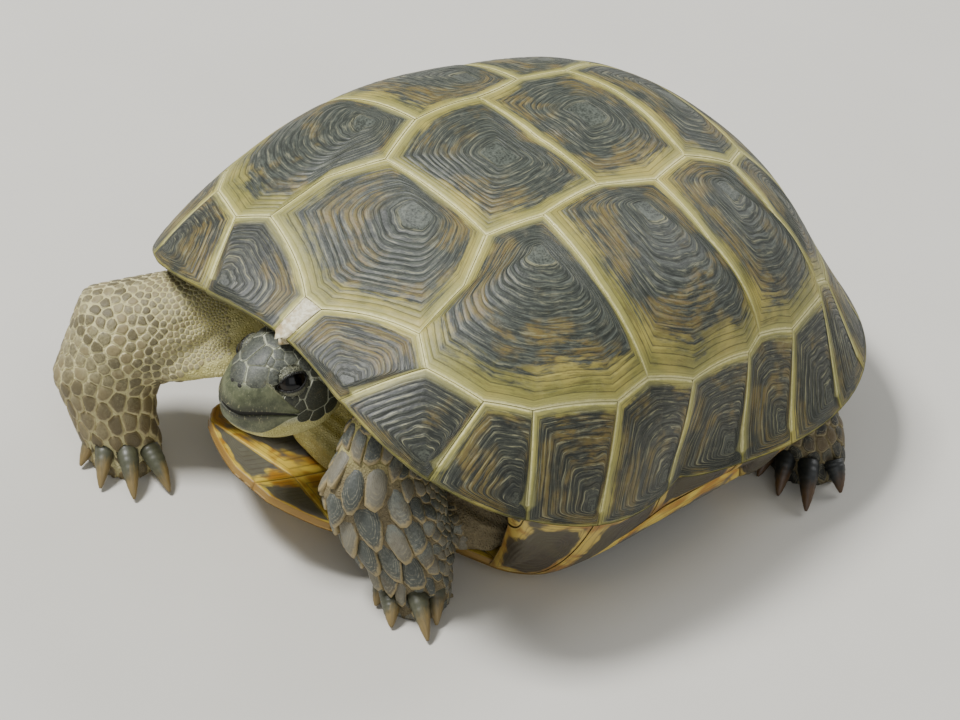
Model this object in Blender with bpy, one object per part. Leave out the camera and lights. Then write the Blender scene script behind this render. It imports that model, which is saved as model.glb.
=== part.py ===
"""A steppe tortoise as a still, life-size model: every scute of the shell, the soft body, the
head with its eyes, four legs and sixteen claws, each a closed solid of its own.

Frame: +Z up, the nose towards -Y, the animal's left side towards +X, the floor at z = 0.
Lengths are in millimetres below and become metres where a mesh is made.
"""

import math

import bmesh
import bpy
from mathutils import Matrix, Vector

MM = 0.001

# Where the shell's own middle stands from the middle of the model's footprint.
PLACE = Vector((0.0, -4.07, 0.0))

# Driving dimensions of the shell, before it is pitched nose up.
SHELL_LENGTH = 180.0
REAR_LENGTH = 83.0
HALF_WIDTH = 69.2
DOME_HEIGHT = 55.2
DOME_BASE = 32.8
PLAN_POWER = 2.84
PROFILE_POWER = 2.35
REAR_WIDENING = 0.067
PITCH = math.radians(8.0)
PIVOT_Y = 60.0
LIFT = 0.65

# How the profile swells: shares of the reach, as cosine series round the shell from the nose.
HIGH_SWELL = (0.0, -0.072, -0.031, -0.021)
SHOULDER_SWELL = (0.016, 0.011, 0.028)
EDGE_SWELL = -0.039

# How far the free edge flares outwards, and where round the shell the front flare dies away.
FRONT_FLARE = 8.9
FRONT_FLARE_SPAN = (-0.35, 0.5)
REAR_FLARE = 19.0
SIDE_TUCK = -1.9

# The free edge, as a share of 90 degrees down from the crown.
RIM = (1.012, -0.043, -0.079, -0.021)

GAP = 0.3
ROOM = 0.8
SEAM_INSET = 0.0018
END_GAP = 0.0030
SCUTE_DEPTH = 3.2
PLASTRON_DEPTH = 3.0
PLASTRON_INSET = 0.16
PLASTRON_FLAT = 50.0
PLASTRON_EDGE = 70.5
BRIDGE_RISE = 25.0
PLASTRON_BOTTOM = 2.5
FRONT_LOBE_RISE = 17.5
REAR_LOBE_RISE = 4.0
GULAR_LIP = 0.8

# Corners of the shields in the shell's own chart: across towards the left, along towards the tail.
NUCHAL_TOP = (0.034, -0.800)
V1_FRONT = (0.309, -0.682)
V1_WAIST = (0.298, -0.554)
V1_V2 = (0.220, -0.434)
V2_SIDE = (0.271, -0.274)
V2_V3 = (0.257, -0.052)
V3_SIDE = (0.290, 0.152)
V3_V4 = (0.233, 0.295)
V4_SIDE = (0.260, 0.428)
V4_V5 = (0.200, 0.520)
C1_C2 = ((0.504, -0.262), (0.738, -0.225))
C2_C3 = ((0.494, 0.180), (0.730, 0.292))
C3_C4 = ((0.408, 0.480), (0.530, 0.618))
MARGINAL_TOPS = (
    (0.383, -0.698), (0.531, -0.627), (0.622, -0.542), (0.738, -0.334), (0.806, -0.046),
    (0.776, 0.238), (0.692, 0.456), (0.562, 0.620), (0.490, 0.690), (0.360, 0.765), (0.175, 0.835),
)

# Where the same seams meet the free edge, in degrees round from the nose.
NUCHAL_RIM_ANGLE = 1.6
V1_RIM_ANGLE = 13.7
MARGINAL_RIM_ANGLES = (17.6, 35.4, 51.0, 64.2, 83.8, 103.8, 115.2, 128.6, 140.0, 151.6, 168.0)
COSTAL_RIM_ANGLES = (71.0, 107.0, 130.5)

# Seams of the plastron: along the midline, and where each meets the side.
PLASTRON_MIDLINE = (-82.0, -68.0, -49.0, -34.0, 26.0, 54.0, 76.0)
PLASTRON_SIDES = (-82.0, -73.0, -45.0, -39.0, 41.0, 54.0, 84.0)
PLASTRON_WIDTHS = (
    (-82.0, 6.0), (-80.0, 11.0), (-76.0, 18.0), (-72.0, 22.5), (-60.0, 28.5), (-50.0, 33.0), (-45.0, 39.0),
    (-39.0, 50.0), (-31.0, 61.0), (-18.0, 68.5), (0.0, 70.0), (30.0, 70.0), (36.0, 66.0), (41.0, 55.0),
    (47.0, 44.0), (58.0, 38.0), (72.0, 29.0), (84.0, 15.0),
)

# The soft body inside the shell: how deep it lies under it, and how its sides run down and in.
TRUNK_SUNK = 6.5
TRUNK_ROWS = (0.16, 0.34, 0.52, 0.66)
TRUNK_SIDE = (24.0, 0.86, 0.58, 0.76)
TRUNK_FOOT = (6.5, 0.60, 0.55, 0.60)

# Limb, neck and tail stations: place of the centre, then half the breadth and half the thickness.
NECK = ((0, -30, 40, 10.5, 10.5), (-1, -46, 45, 10.5, 11), (-2, -57, 49, 10.5, 11.5), (-2, -66, 50, 10, 11))
HEAD_X = -2.0
HEAD_SECTIONS = (
    (-58.0, 10.0, 61.0, 37.0), (-61.5, 12.0, 64.0, 36.0), (-65.5, 13.3, 66.2, 35.5), (-70.0, 13.4, 67.0, 35.8),
    (-74.5, 12.9, 67.0, 36.2), (-79.0, 11.8, 65.9, 37.2), (-83.0, 10.0, 64.0, 39.2), (-86.5, 8.0, 61.8, 41.8),
    (-89.5, 5.6, 59.2, 44.6), (-91.3, 3.0, 56.5, 47.6),
)
HEAD_PART_Y = -60.0
EYE_CENTRE = (7.2, -77.2, 58.8)
EYE_RADIUS = 4.2
LEFT_FORELEG = (
    (22, -34, 42, 9.5, 9.5), (22.5, -48, 44.5, 10.5, 9.5), (24, -59, 42, 13.2, 9.5), (28.5, -64.5, 33.5, 16, 9.2),
    (35, -63, 24, 14.5, 8.5), (39, -60.5, 15, 12.2, 8), (41, -59.5, 8, 10.4, 8.4), (41.5, -59.5, 2, 9.8, 8.6),
    (41.5, -59.5, -4, 9.4, 8.4),
)
RIGHT_FORELEG = (
    (-25, -36, 41, 10, 10), (-33, -54, 43, 13, 12.5), (-46, -70, 40, 15, 14), (-56, -82, 34, 17, 15.5),
    (-56, -87, 22, 14.5, 13), (-50, -87, 11, 11.5, 10.5), (-47, -86, 3, 10.5, 10), (-46.5, -86, -4, 10, 10),
)
LEFT_HINDLEG = (
    (31, 46, 24, 11, 11), (44, 58, 21, 13.5, 12), (56, 65, 15, 13, 11.5), (63, 66, 8, 11.5, 10.5),
    (65, 66, 2, 10.8, 10.3), (65, 66, -4, 10.4, 10),
)
RIGHT_HINDLEG_SHIFT = 6.0
TAIL = ((0, 66, 20, 6.5, 6.5), (2, 78, 17, 5.8, 5.5), (5, 86, 13, 4.4, 4.2), (9, 92, 9, 3.0, 2.8), (12, 97, 6.5, 1.2, 1.2))
WRIST_Z = 14.0
ANKLE_Z = 12.0

# Claws: base and tip of each, from the outermost inwards.
CLAW_RADIUS = 3.0
CLAW_TIP_RADIUS = 0.55
CLAW_BEND = 0.9
LEFT_FORE_CLAWS = (
    ((45, -56.5, 7.5), (53, -62.0, 1.2)), ((44.5, -62.8, 7.4), (56, -67.8, 1.2)),
    ((40, -67, 4.4), (46.5, -72, 1.0)), ((34.5, -64, 4.0), (38, -70, 1.0)),
)
RIGHT_FORE_CLAWS = (
    ((-53.5, -90, 7.5), (-49.5, -99, 1.2)), ((-47.8, -92, 8), (-39.3, -100.2, 1.2)),
    ((-41.5, -90, 8), (-30.7, -95.5, 1.2)), ((-38.5, -84.5, 7), (-27.5, -86, 1.2)),
)
LEFT_HIND_CLAWS = (
    ((74, 66, 6.5), (80, 64, 1.1)), ((71, 59, 7), (79.5, 50.5, 1.1)),
    ((64.5, 57, 7), (70.5, 48.7, 1.1)), ((58, 58.5, 5.5), (61.5, 50, 1.0)),
)

SKIN = ("skin", (0.42, 0.37, 0.19, 1.0), 0.75)
SCUTE = ("scute", (0.16, 0.15, 0.10, 1.0), 0.45)
BORDER = ("border", (0.45, 0.38, 0.15, 1.0), 0.45)
BELLY = ("belly", (0.50, 0.32, 0.08, 1.0), 0.5)
CLAW = ("claw", (0.14, 0.09, 0.05, 1.0), 0.4)
EYE = ("eye", (0.01, 0.01, 0.01, 1.0), 0.05)


def clear_scene():
    """Empty the scene before anything is modelled."""
    for obj in list(bpy.data.objects):
        bpy.data.objects.remove(obj, do_unlink=True)


def material(look):
    """One Principled material made from a (name, colour, roughness) triple."""
    name, colour, roughness = look
    found = bpy.data.materials.new(name)
    found.use_nodes = True
    shader = found.node_tree.nodes["Principled BSDF"]
    shader.inputs["Base Color"].default_value = colour
    shader.inputs["Roughness"].default_value = roughness
    shader.inputs["Metallic"].default_value = 0.0
    return found


def series(coefficients, angle):
    """A cosine series: the rim and the ring are written as one."""
    return sum(value * math.cos(turn * angle) for turn, value in enumerate(coefficients))


def eased(value, low, high):
    """A smooth step from 0 at low to 1 at high."""
    share = min(max((value - low) / (high - low), 0.0), 1.0)
    return share * share * (3 - 2 * share)


def local_dome(u, v):
    """A point of the shell's outer surface before it is pitched, from its chart."""
    share = math.hypot(u, v)
    angle = math.atan2(u, -v)
    polar = share * math.pi / 2
    across = math.sin(polar) * math.sin(angle)
    along = -math.sin(polar) * math.cos(angle)
    upward = math.cos(polar)
    half_length = REAR_LENGTH if along > 0 else SHELL_LENGTH - REAR_LENGTH
    plan = abs(across / HALF_WIDTH) ** PLAN_POWER + abs(along / half_length) ** PLAN_POWER
    total = plan ** (PROFILE_POWER / PLAN_POWER) + abs(upward / DOME_HEIGHT) ** PROFILE_POWER
    reach = total ** (-1 / PROFILE_POWER)
    fold = min(polar, math.pi / 2)
    reach *= (
        1
        + math.sin(2 * fold) * series(HIGH_SWELL, angle)
        + math.sin(4 * fold) * series(SHOULDER_SWELL, angle)
        + EDGE_SWELL * math.sin(fold) ** 2 * math.cos(3 * angle)
    )
    x, y = reach * across, reach * along
    x *= 1 + REAR_WIDENING * y / (SHELL_LENGTH / 2)
    edge = (max(share - 0.60, 0) / 0.4) ** 2
    rear_edge = (max(share - 0.74, 0) / 0.26) ** 2
    flare = FRONT_FLARE * eased(math.cos(angle), *FRONT_FLARE_SPAN) * edge
    flare += REAR_FLARE * max(-math.cos(angle), 0) ** 0.77 * rear_edge
    flare += SIDE_TUCK * math.sin(angle) ** 2 * edge
    return Vector((x + flare * math.sin(angle), y - flare * math.cos(angle), DOME_BASE + reach * upward))


def pitched(point):
    """Turn a point nose up about the rear of the plastron and set it above the floor."""
    y = point.y - PIVOT_Y
    turned_y = y * math.cos(PITCH) + point.z * math.sin(PITCH) + PIVOT_Y
    turned_z = -y * math.sin(PITCH) + point.z * math.cos(PITCH) + LIFT
    return Vector((point.x, turned_y, turned_z))


def dome(u, v, depth=0.0):
    """A point of the shell in the model's frame, sunk below its surface by depth."""
    here = local_dome(u, v)
    if depth:
        step = 0.004
        along_u = local_dome(u + step, v) - local_dome(u - step, v)
        along_v = local_dome(u, v + step) - local_dome(u, v - step)
        here = here + along_v.cross(along_u).normalized() * depth
    return pitched(here)


def rim_point(angle_deg):
    """A chart point on the shell's free edge."""
    angle = math.radians(angle_deg)
    share = series(RIM, angle)
    return (share * math.sin(angle), -share * math.cos(angle))


def mirrored(corners):
    """The same outline on the other side, in the same turning sense."""
    return [(-u, v) for u, v in reversed(corners)]


def belly(x, y, depth=0.0):
    """A point of the plastron's lower face, or of its upper face when depth is its thickness."""
    side = min(max(abs(x) - PLASTRON_FLAT, 0) / (PLASTRON_EDGE - PLASTRON_FLAT), 1)
    z = PLASTRON_BOTTOM + BRIDGE_RISE * (1 - math.sqrt(1 - side**2))
    z += FRONT_LOBE_RISE * (max(-y - 10, 0) / 72) ** 1.7 + REAR_LOBE_RISE * (max(y - 66, 0) / 16) ** 2
    thickness = depth * (1 - 0.35 * side + GULAR_LIP * eased(-y, 60, 78))
    return Vector((x - math.copysign(side * depth * 0.8, x), y, z + thickness))


def lobe_half_width(y):
    """Half the plastron's width at a place along it."""
    for (y0, w0), (y1, w1) in zip(PLASTRON_WIDTHS, PLASTRON_WIDTHS[1:]):
        if y <= y1:
            share = max((y - y0) / (y1 - y0), 0)
            return w0 + (w1 - w0) * share
    return PLASTRON_WIDTHS[-1][1]


def finish(name, bm, look):
    """Turn a filled bmesh, in metres, into a smooth-shaded object with its own material."""
    mesh = bpy.data.meshes.new(name)
    bm.to_mesh(mesh)
    bm.free()
    mesh.transform(Matrix.Translation(PLACE * MM))
    mesh.materials.append(material(look))
    mesh.shade_smooth()
    obj = bpy.data.objects.new(name, mesh)
    bpy.context.scene.collection.objects.link(obj)
    return obj


def wrapped_grid(around, rows, place):
    """A closed body: a grid wrapped round into a tube whose first and last rows are points.

    place(i, j) gives the point, in millimetres, of column i of around and row j of rows.
    """
    bm = bmesh.new()
    bmesh.ops.create_grid(bm, x_segments=around, y_segments=rows, size=1.0)
    for vert in bm.verts:
        i = round((vert.co.x + 1) / 2 * around) % around
        j = round((vert.co.y + 1) / 2 * rows)
        vert.co = place(i, j) * MM
    bmesh.ops.remove_doubles(bm, verts=bm.verts, dist=2e-6)
    bmesh.ops.dissolve_degenerate(bm, edges=bm.edges, dist=1e-6)
    bmesh.ops.triangulate(bm, faces=bm.faces)
    bmesh.ops.recalc_face_normals(bm, faces=bm.faces)
    return bm


def cut_off(bm, place, normal):
    """Cut a body by a plane, drop what lies behind the plane and close the cut with a flat face."""
    geometry = bm.verts[:] + bm.edges[:] + bm.faces[:]
    point = Vector(place) * MM
    cut = bmesh.ops.bisect_plane(bm, geom=geometry, plane_co=point, plane_no=normal, clear_inner=True)
    edges = [item for item in cut["geom_cut"] if isinstance(item, bmesh.types.BMEdge)]
    bmesh.ops.contextual_create(bm, geom=edges)
    bmesh.ops.triangulate(bm, faces=bm.faces)
    bmesh.ops.recalc_face_normals(bm, faces=bm.faces)


def subdivided(corners, spacing):
    """Points along an outline, no further apart than spacing, corners included."""
    points = []
    for (x0, y0), (x1, y1) in zip(corners, corners[1:] + corners[:1]):
        steps = max(1, math.ceil(math.hypot(x1 - x0, y1 - y0) / spacing))
        points += [(x0 + (x1 - x0) * k / steps, y0 + (y1 - y0) * k / steps) for k in range(steps)]
    return points


def inset_outline(corners, inset):
    """The outline moved inwards by a fixed distance, corner by corner."""
    area = sum(x0 * y1 - x1 * y0 for (x0, y0), (x1, y1) in zip(corners, corners[1:] + corners[:1]))
    turn = 1 if area > 0 else -1
    moved = []
    for k, (x, y) in enumerate(corners):
        before = Vector((x, y)) - Vector(corners[k - 1])
        after = Vector(corners[(k + 1) % len(corners)]) - Vector((x, y))
        normals = [Vector((-edge.y, edge.x)).normalized() * turn for edge in (before, after)]
        bisector = (normals[0] + normals[1]).normalized()
        reach = inset / max(bisector.dot(normals[0]), 0.35)
        moved.append((x + bisector.x * reach, y + bisector.y * reach))
    return moved


def plate(name, corners, surface, depth, look, inset, spacing):
    """A scute: an outline in a chart, laid on a surface and given a thickness."""
    outline = subdivided(inset_outline(corners, inset), spacing)
    middle = (sum(p[0] for p in outline) / len(outline), sum(p[1] for p in outline) / len(outline))
    layers = ((0.0, depth), (1.0, depth), (1.0, 0.0), (0.62, 0.0), (0.0, 0.0))

    def place(i, j):
        scale, sunk = layers[j]
        x = middle[0] + (outline[i][0] - middle[0]) * scale
        y = middle[1] + (outline[i][1] - middle[1]) * scale
        return surface(x, y, sunk)

    return finish(name, wrapped_grid(len(outline), len(layers) - 1, place), look)


def carapace_plates():
    """The nuchal, five vertebrals, four costals a side and the supracaudal."""
    tops = MARGINAL_TOPS
    left_half = {
        1: [NUCHAL_TOP, V1_FRONT, V1_WAIST, V1_V2],
        2: [V1_V2, V2_SIDE, V2_V3],
        3: [V2_V3, V3_SIDE, V3_V4],
        4: [V3_V4, V4_SIDE, V4_V5],
        5: [V4_V5, tops[9], tops[10]],
    }
    for number, corners in left_half.items():
        plate(f"vertebral_{number}", corners + mirrored(corners), dome, SCUTE_DEPTH, SCUTE, SEAM_INSET, 0.11)
    costals = {
        1: [V1_V2, V1_WAIST, V1_FRONT, *tops[0:4], C1_C2[1], C1_C2[0], V2_SIDE],
        2: [V2_V3, V2_SIDE, *C1_C2, *tops[4:6], C2_C3[1], C2_C3[0], V3_SIDE],
        3: [V3_V4, V3_SIDE, *C2_C3, *tops[6:8], C3_C4[1], C3_C4[0], V4_SIDE],
        4: [V4_V5, V4_SIDE, *C3_C4, *tops[8:10]],
    }
    for number, corners in costals.items():
        plate(f"costal_left_{number}", corners, dome, SCUTE_DEPTH, SCUTE, SEAM_INSET, 0.11)
        plate(f"costal_right_{number}", mirrored(corners), dome, SCUTE_DEPTH, SCUTE, SEAM_INSET, 0.11)
    edge = rim_point(NUCHAL_RIM_ANGLE)
    nuchal = [NUCHAL_TOP, (-NUCHAL_TOP[0], NUCHAL_TOP[1]), (-edge[0], edge[1]), edge]
    plate("nuchal", nuchal, dome, SCUTE_DEPTH, BORDER, SEAM_INSET, 0.05)
    low = rim_point(MARGINAL_RIM_ANGLES[-1])
    supracaudal = [(-tops[10][0], tops[10][1]), tops[10], low, rim_point(180), (-low[0], low[1])]
    plate("supracaudal", supracaudal, dome, SCUTE_DEPTH, SCUTE, SEAM_INSET, 0.1)


def skirt_line():
    """The seam above the marginals: chart points, each with the angle its marginal meets the rim."""
    line = [(NUCHAL_TOP, NUCHAL_RIM_ANGLE), (V1_FRONT, V1_RIM_ANGLE)]
    line += zip(MARGINAL_TOPS, MARGINAL_RIM_ANGLES)
    line += zip((C1_C2[1], C2_C3[1], C3_C4[1]), COSTAL_RIM_ANGLES)
    return sorted(line, key=lambda item: item[1])


def marginal_row(side):
    """The eleven marginals of one side as one band, from the nuchal to the supracaudal."""
    section = ((0.0, 0.0), (0.5, 0.0), (1.0, 0.0), (1.0, 1.0), (0.5, 1.0), (0.0, 1.0))
    line = skirt_line()
    stations = []
    for (top0, low0), (top1, low1) in zip(line, line[1:]):
        steps = max(1, math.ceil((low1 - low0) / 8.0))
        for step in range(steps):
            share = step / steps
            stations.append((Vector(top0).lerp(Vector(top1), share), low0 + (low1 - low0) * share))
    stations.append((Vector(line[-1][0]), line[-1][1]))

    def place(i, j):
        k = min(max(j - 1, 0), len(stations) - 1)
        top, angle = stations[k]
        low = Vector(rim_point(angle))
        along = Vector((-low.y, low.x)).normalized()
        ends = {0: 1.0, len(stations) - 1: -1.0}.get(k, 0.0) * END_GAP
        top = top + (low - top).normalized() * SEAM_INSET + along * ends
        low = low + along * ends
        across, sunk = (0.5, 0.5) if j in (0, len(stations) + 1) else section[i]
        point = top.lerp(low, across)
        return dome(point.x * side, point.y, sunk * SCUTE_DEPTH)

    name = "marginals_left" if side > 0 else "marginals_right"
    finish(name, wrapped_grid(len(section), len(stations) + 1, place), SCUTE)


def plastron_plates():
    """Six pairs of plastral scutes, the middle ones running up the bridges."""
    names = ("gular", "humeral", "pectoral", "abdominal", "femoral", "anal")
    for k, name in enumerate(names):
        first, last = PLASTRON_SIDES[k], PLASTRON_SIDES[k + 1]
        steps = max(2, round((last - first) / 8.0))
        sides = [first + (last - first) * step / steps for step in range(steps + 1)]
        corners = [(0.0, PLASTRON_MIDLINE[k])] + [(lobe_half_width(y), y) for y in sides]
        corners.append((0.0, PLASTRON_MIDLINE[k + 1]))
        plate(f"{name}_left", corners, belly, PLASTRON_DEPTH, BELLY, PLASTRON_INSET, 14.0)
        plate(f"{name}_right", mirrored(corners), belly, PLASTRON_DEPTH, BELLY, PLASTRON_INSET, 14.0)


def loft(stations, around, reference, grow=0.0, power=2.0):
    """A closed body through oval stations of (x, y, z, half breadth, half thickness).

    The breadth lies square to the run and to the reference direction. grow fattens it all round.
    """
    centres = [Vector(station[:3]) for station in stations]
    count = len(centres)
    runs = [(centres[min(k + 1, count - 1)] - centres[max(k - 1, 0)]).normalized() for k in range(count)]
    centres[0] -= runs[0] * grow
    centres[-1] += runs[-1] * grow
    ahead = Vector(reference)

    def place(i, j):
        k = min(max(j - 1, 0), count - 1)
        if j in (0, count + 1):
            return centres[k]
        broad = ahead.cross(runs[k]).normalized()
        thick = runs[k].cross(broad)
        angle = 2 * math.pi * i / around
        c, s = math.cos(angle), math.sin(angle)
        breadth, thickness = stations[k][3] + grow, stations[k][4] + grow
        out = (abs(c) ** power + abs(s) ** power) ** (-1 / power)
        return centres[k] + broad * (c * out * breadth) + thick * (s * out * thickness)

    return wrapped_grid(around, count + 1, place)


def opposite(stations, shift=0.0):
    """The same stations on the other side of the body, further back by shift."""
    return tuple((-x, y + shift, *rest) for x, y, *rest in stations)


def cutter(name, bm):
    """A closed body that other bodies are cut by, left out of the model itself."""
    tool = finish(name, bm, SKIN)
    tool.hide_render = True
    tool.display_type = "WIRE"
    return tool


def subtract(obj, tool):
    """Cut a body by a cutter, keeping the exact solver."""
    boolean = obj.modifiers.new(f"less_{tool.name}", "BOOLEAN")
    boolean.operation = "DIFFERENCE"
    boolean.solver = "EXACT"
    boolean.object = tool


def claw_stations(base, tip):
    """A claw's run from base to tip, arched upwards in its middle."""
    stations = []
    for share in (0.0, 0.35, 0.7, 1.0):
        place = Vector(base).lerp(Vector(tip), share)
        radius = CLAW_RADIUS + (CLAW_TIP_RADIUS - CLAW_RADIUS) * share**1.6
        arch = CLAW_BEND * 4 * share * (1 - share)
        stations.append((place.x, place.y, place.z + arch, radius, radius * 0.85))
    return stations


def limb(name, stations, claws, heading, part_z):
    """A leg and its foot, parted by a thin level cut, and the foot's four claws let into it.

    Returns the leg's fattened cutter, which makes room for it in the trunk.
    """
    upper = loft(stations, 14, heading)
    cut_off(upper, (0, 0, part_z + GAP / 2), (0, 0, 1))
    finish(f"{name}leg", upper, SKIN)
    lower = loft(stations, 14, heading)
    cut_off(lower, (0, 0, 0), (0, 0, 1))
    cut_off(lower, (0, 0, part_z - GAP / 2), (0, 0, -1))
    foot = finish(f"{name}foot", lower, SKIN)
    for number, (base, tip) in enumerate(claws, start=1):
        run = claw_stations(base, tip)
        finish(f"{name}claw_{number}", loft(run, 8, (0, 0, 1)), CLAW)
        subtract(foot, cutter(f"{name}claw_room_{number}", loft(run, 8, (0, 0, 1), grow=GAP)))
    return cutter(f"{name}leg_room", loft(stations, 14, heading, grow=ROOM))


def head_and_neck():
    """The head with two eyes let into it, and the neck behind it. Returns the neck's cutter."""
    sections = [
        (HEAD_X, y, (top + bottom) / 2, half, (top - bottom) / 2) for y, half, top, bottom in HEAD_SECTIONS
    ]
    skull = loft(sections, 20, (0, 0, 1), power=2.3)
    cut_off(skull, (0, HEAD_PART_Y - GAP / 2, 0), (0, -1, 0))
    head = finish("head", skull, SKIN)
    for name, side in (("left", 1), ("right", -1)):
        centre = Vector((HEAD_X + side * EYE_CENTRE[0], *EYE_CENTRE[1:]))
        for grow in (0.0, GAP):
            ball = bmesh.new()
            where = Matrix.Translation(centre * MM)
            bmesh.ops.create_icosphere(ball, subdivisions=2, radius=(EYE_RADIUS + grow) * MM, matrix=where)
            if grow:
                subtract(head, cutter(f"eye_room_{name}", ball))
            else:
                finish(f"eye_{name}", ball, EYE)
    throat = loft(NECK, 16, (0, 0, 1))
    cut_off(throat, (0, HEAD_PART_Y + GAP / 2, 0), (0, 1, 0))
    finish("neck", throat, SKIN)
    return cutter("neck_room", loft(NECK, 16, (0, 0, 1), grow=ROOM))


def trunk(rooms):
    """The soft body under the shell, with room cut for the neck, the legs and the tail."""
    around = 28
    rows = len(TRUNK_ROWS) + 3

    def place(i, j):
        angle = 2 * math.pi * i / around
        if j == rows:
            return belly(0, 0, TRUNK_FOOT[0])
        if j <= len(TRUNK_ROWS):
            share = TRUNK_ROWS[j - 1] if j else 0.0
            return dome(share * math.sin(angle), -share * math.cos(angle), TRUNK_SUNK)
        foot = j > len(TRUNK_ROWS) + 1
        z, side, front, rear = TRUNK_FOOT if foot else TRUNK_SIDE
        edge = local_dome(*rim_point(math.degrees(angle)))
        end = front if math.cos(angle) > 0 else rear
        share = side + (end - side) * math.cos(angle) ** 2
        if foot:
            return belly(edge.x * share, edge.y * share, z)
        return pitched(Vector((edge.x * share, edge.y * share, z)))

    body = finish("trunk", wrapped_grid(around, rows, place), SKIN)
    for room in rooms:
        subtract(body, room)


def main():
    """Build every piece of the tortoise."""
    clear_scene()
    carapace_plates()
    for side in (1, -1):
        marginal_row(side)
    plastron_plates()
    hind_right = opposite(LEFT_HINDLEG, RIGHT_HINDLEG_SHIFT)
    hind_right_claws = [
        (opposite([base], RIGHT_HINDLEG_SHIFT)[0], opposite([tip], RIGHT_HINDLEG_SHIFT)[0])
        for base, tip in LEFT_HIND_CLAWS
    ]
    rooms = [
        head_and_neck(),
        limb("left_fore", LEFT_FORELEG, LEFT_FORE_CLAWS, (0.9, -0.4, 0), WRIST_Z),
        limb("right_fore", RIGHT_FORELEG, RIGHT_FORE_CLAWS, (0.6, -0.8, 0), WRIST_Z),
        limb("left_hind", LEFT_HINDLEG, LEFT_HIND_CLAWS, (0.8, -0.6, 0), ANKLE_Z),
        limb("right_hind", hind_right, hind_right_claws, (-0.8, -0.6, 0), ANKLE_Z),
        cutter("tail_room", loft(TAIL, 10, (0, 0, 1), grow=ROOM)),
    ]
    finish("tail", loft(TAIL, 10, (0, 0, 1)), SKIN)
    trunk(rooms)


main()
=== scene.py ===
"""Finished look of a steppe tortoise: growth-ringed scutes, scaled hide, head, eyes and claws.

Lengths are in millimetres until a mesh is filled, +Z is up and the nose points towards -Y.
"""

import logging
import math
from collections.abc import Iterator, Sequence
from contextlib import contextmanager
from dataclasses import dataclass, field, replace
from enum import Enum
from typing import ClassVar

import bmesh
import bpy
import numpy as np
from bmesh.types import BMesh
from bpy.types import Material, Mesh, NodeSocket, Object
from mathutils import Matrix, Vector
from mathutils.bvhtree import BVHTree
from mathutils.kdtree import KDTree
from numpy import ndarray as Array
from numpy.random import Generator, default_rng


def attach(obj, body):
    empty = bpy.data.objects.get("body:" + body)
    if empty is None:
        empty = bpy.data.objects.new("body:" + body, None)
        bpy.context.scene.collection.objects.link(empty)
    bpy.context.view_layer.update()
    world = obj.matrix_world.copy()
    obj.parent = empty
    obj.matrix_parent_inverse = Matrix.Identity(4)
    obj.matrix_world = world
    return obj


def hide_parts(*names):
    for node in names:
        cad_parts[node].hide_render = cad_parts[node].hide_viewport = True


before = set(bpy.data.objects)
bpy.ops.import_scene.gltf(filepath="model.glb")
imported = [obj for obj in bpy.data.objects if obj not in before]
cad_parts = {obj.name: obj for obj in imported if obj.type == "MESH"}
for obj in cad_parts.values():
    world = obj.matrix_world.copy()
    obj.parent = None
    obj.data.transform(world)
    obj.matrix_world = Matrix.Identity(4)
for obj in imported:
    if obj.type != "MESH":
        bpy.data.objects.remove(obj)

MM = 0.001
PLACE = np.array((0.0, -4.07, 0.0))
Chart = tuple[float, float]
Spot = tuple[float, float, float]
Seed = tuple[float, float, float, float]
Colour = tuple[float, float, float]

logging.basicConfig(level=logging.INFO, format="%(message)s")
log = logging.getLogger("tortoise")


# --- shader graphs


class Value:
    """A node socket that takes part in arithmetic; each operator adds its Math node."""

    def __init__(self, graph: "Graph", socket: NodeSocket) -> None:
        """Keep the socket and the graph that new nodes go into."""
        self.graph = graph
        self.socket = socket

    def math(self, operation: str, *others: "Value | float") -> "Value":
        """Add one Math node; others are its further inputs."""
        return self.graph.node("ShaderNodeMath", {"operation": operation}, dict(enumerate((self, *others))))

    def __add__(self, other: "Value | float") -> "Value":
        """Sum."""
        return self.math("ADD", other)

    __radd__ = __add__

    def __mul__(self, other: "Value | float") -> "Value":
        """Product."""
        return self.math("MULTIPLY", other)

    __rmul__ = __mul__

    def __sub__(self, other: "Value | float") -> "Value":
        """Difference."""
        return self.math("SUBTRACT", other)

    def __rsub__(self, other: float) -> "Value":
        """Difference from a number."""
        return self.math("MULTIPLY_ADD", -1.0, other)

    def fraction(self) -> "Value":
        """The part after the decimal point."""
        return self.math("FRACT")

    def above(self, low: float, high: float, ends: Chart = (0.0, 1.0)) -> "Value":
        """A smooth step between two ends, 0 at low and 1 at high unless they are given."""
        inputs = {"Value": self, "From Min": low, "From Max": high, "To Min": ends[0], "To Max": ends[1]}
        return self.graph.node("ShaderNodeMapRange", {"interpolation_type": "SMOOTHSTEP"}, inputs)

    def below(self, low: float, high: float) -> "Value":
        """A smooth step from 1 at low to 0 at high."""
        return self.above(low, high, (1.0, 0.0))


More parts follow.
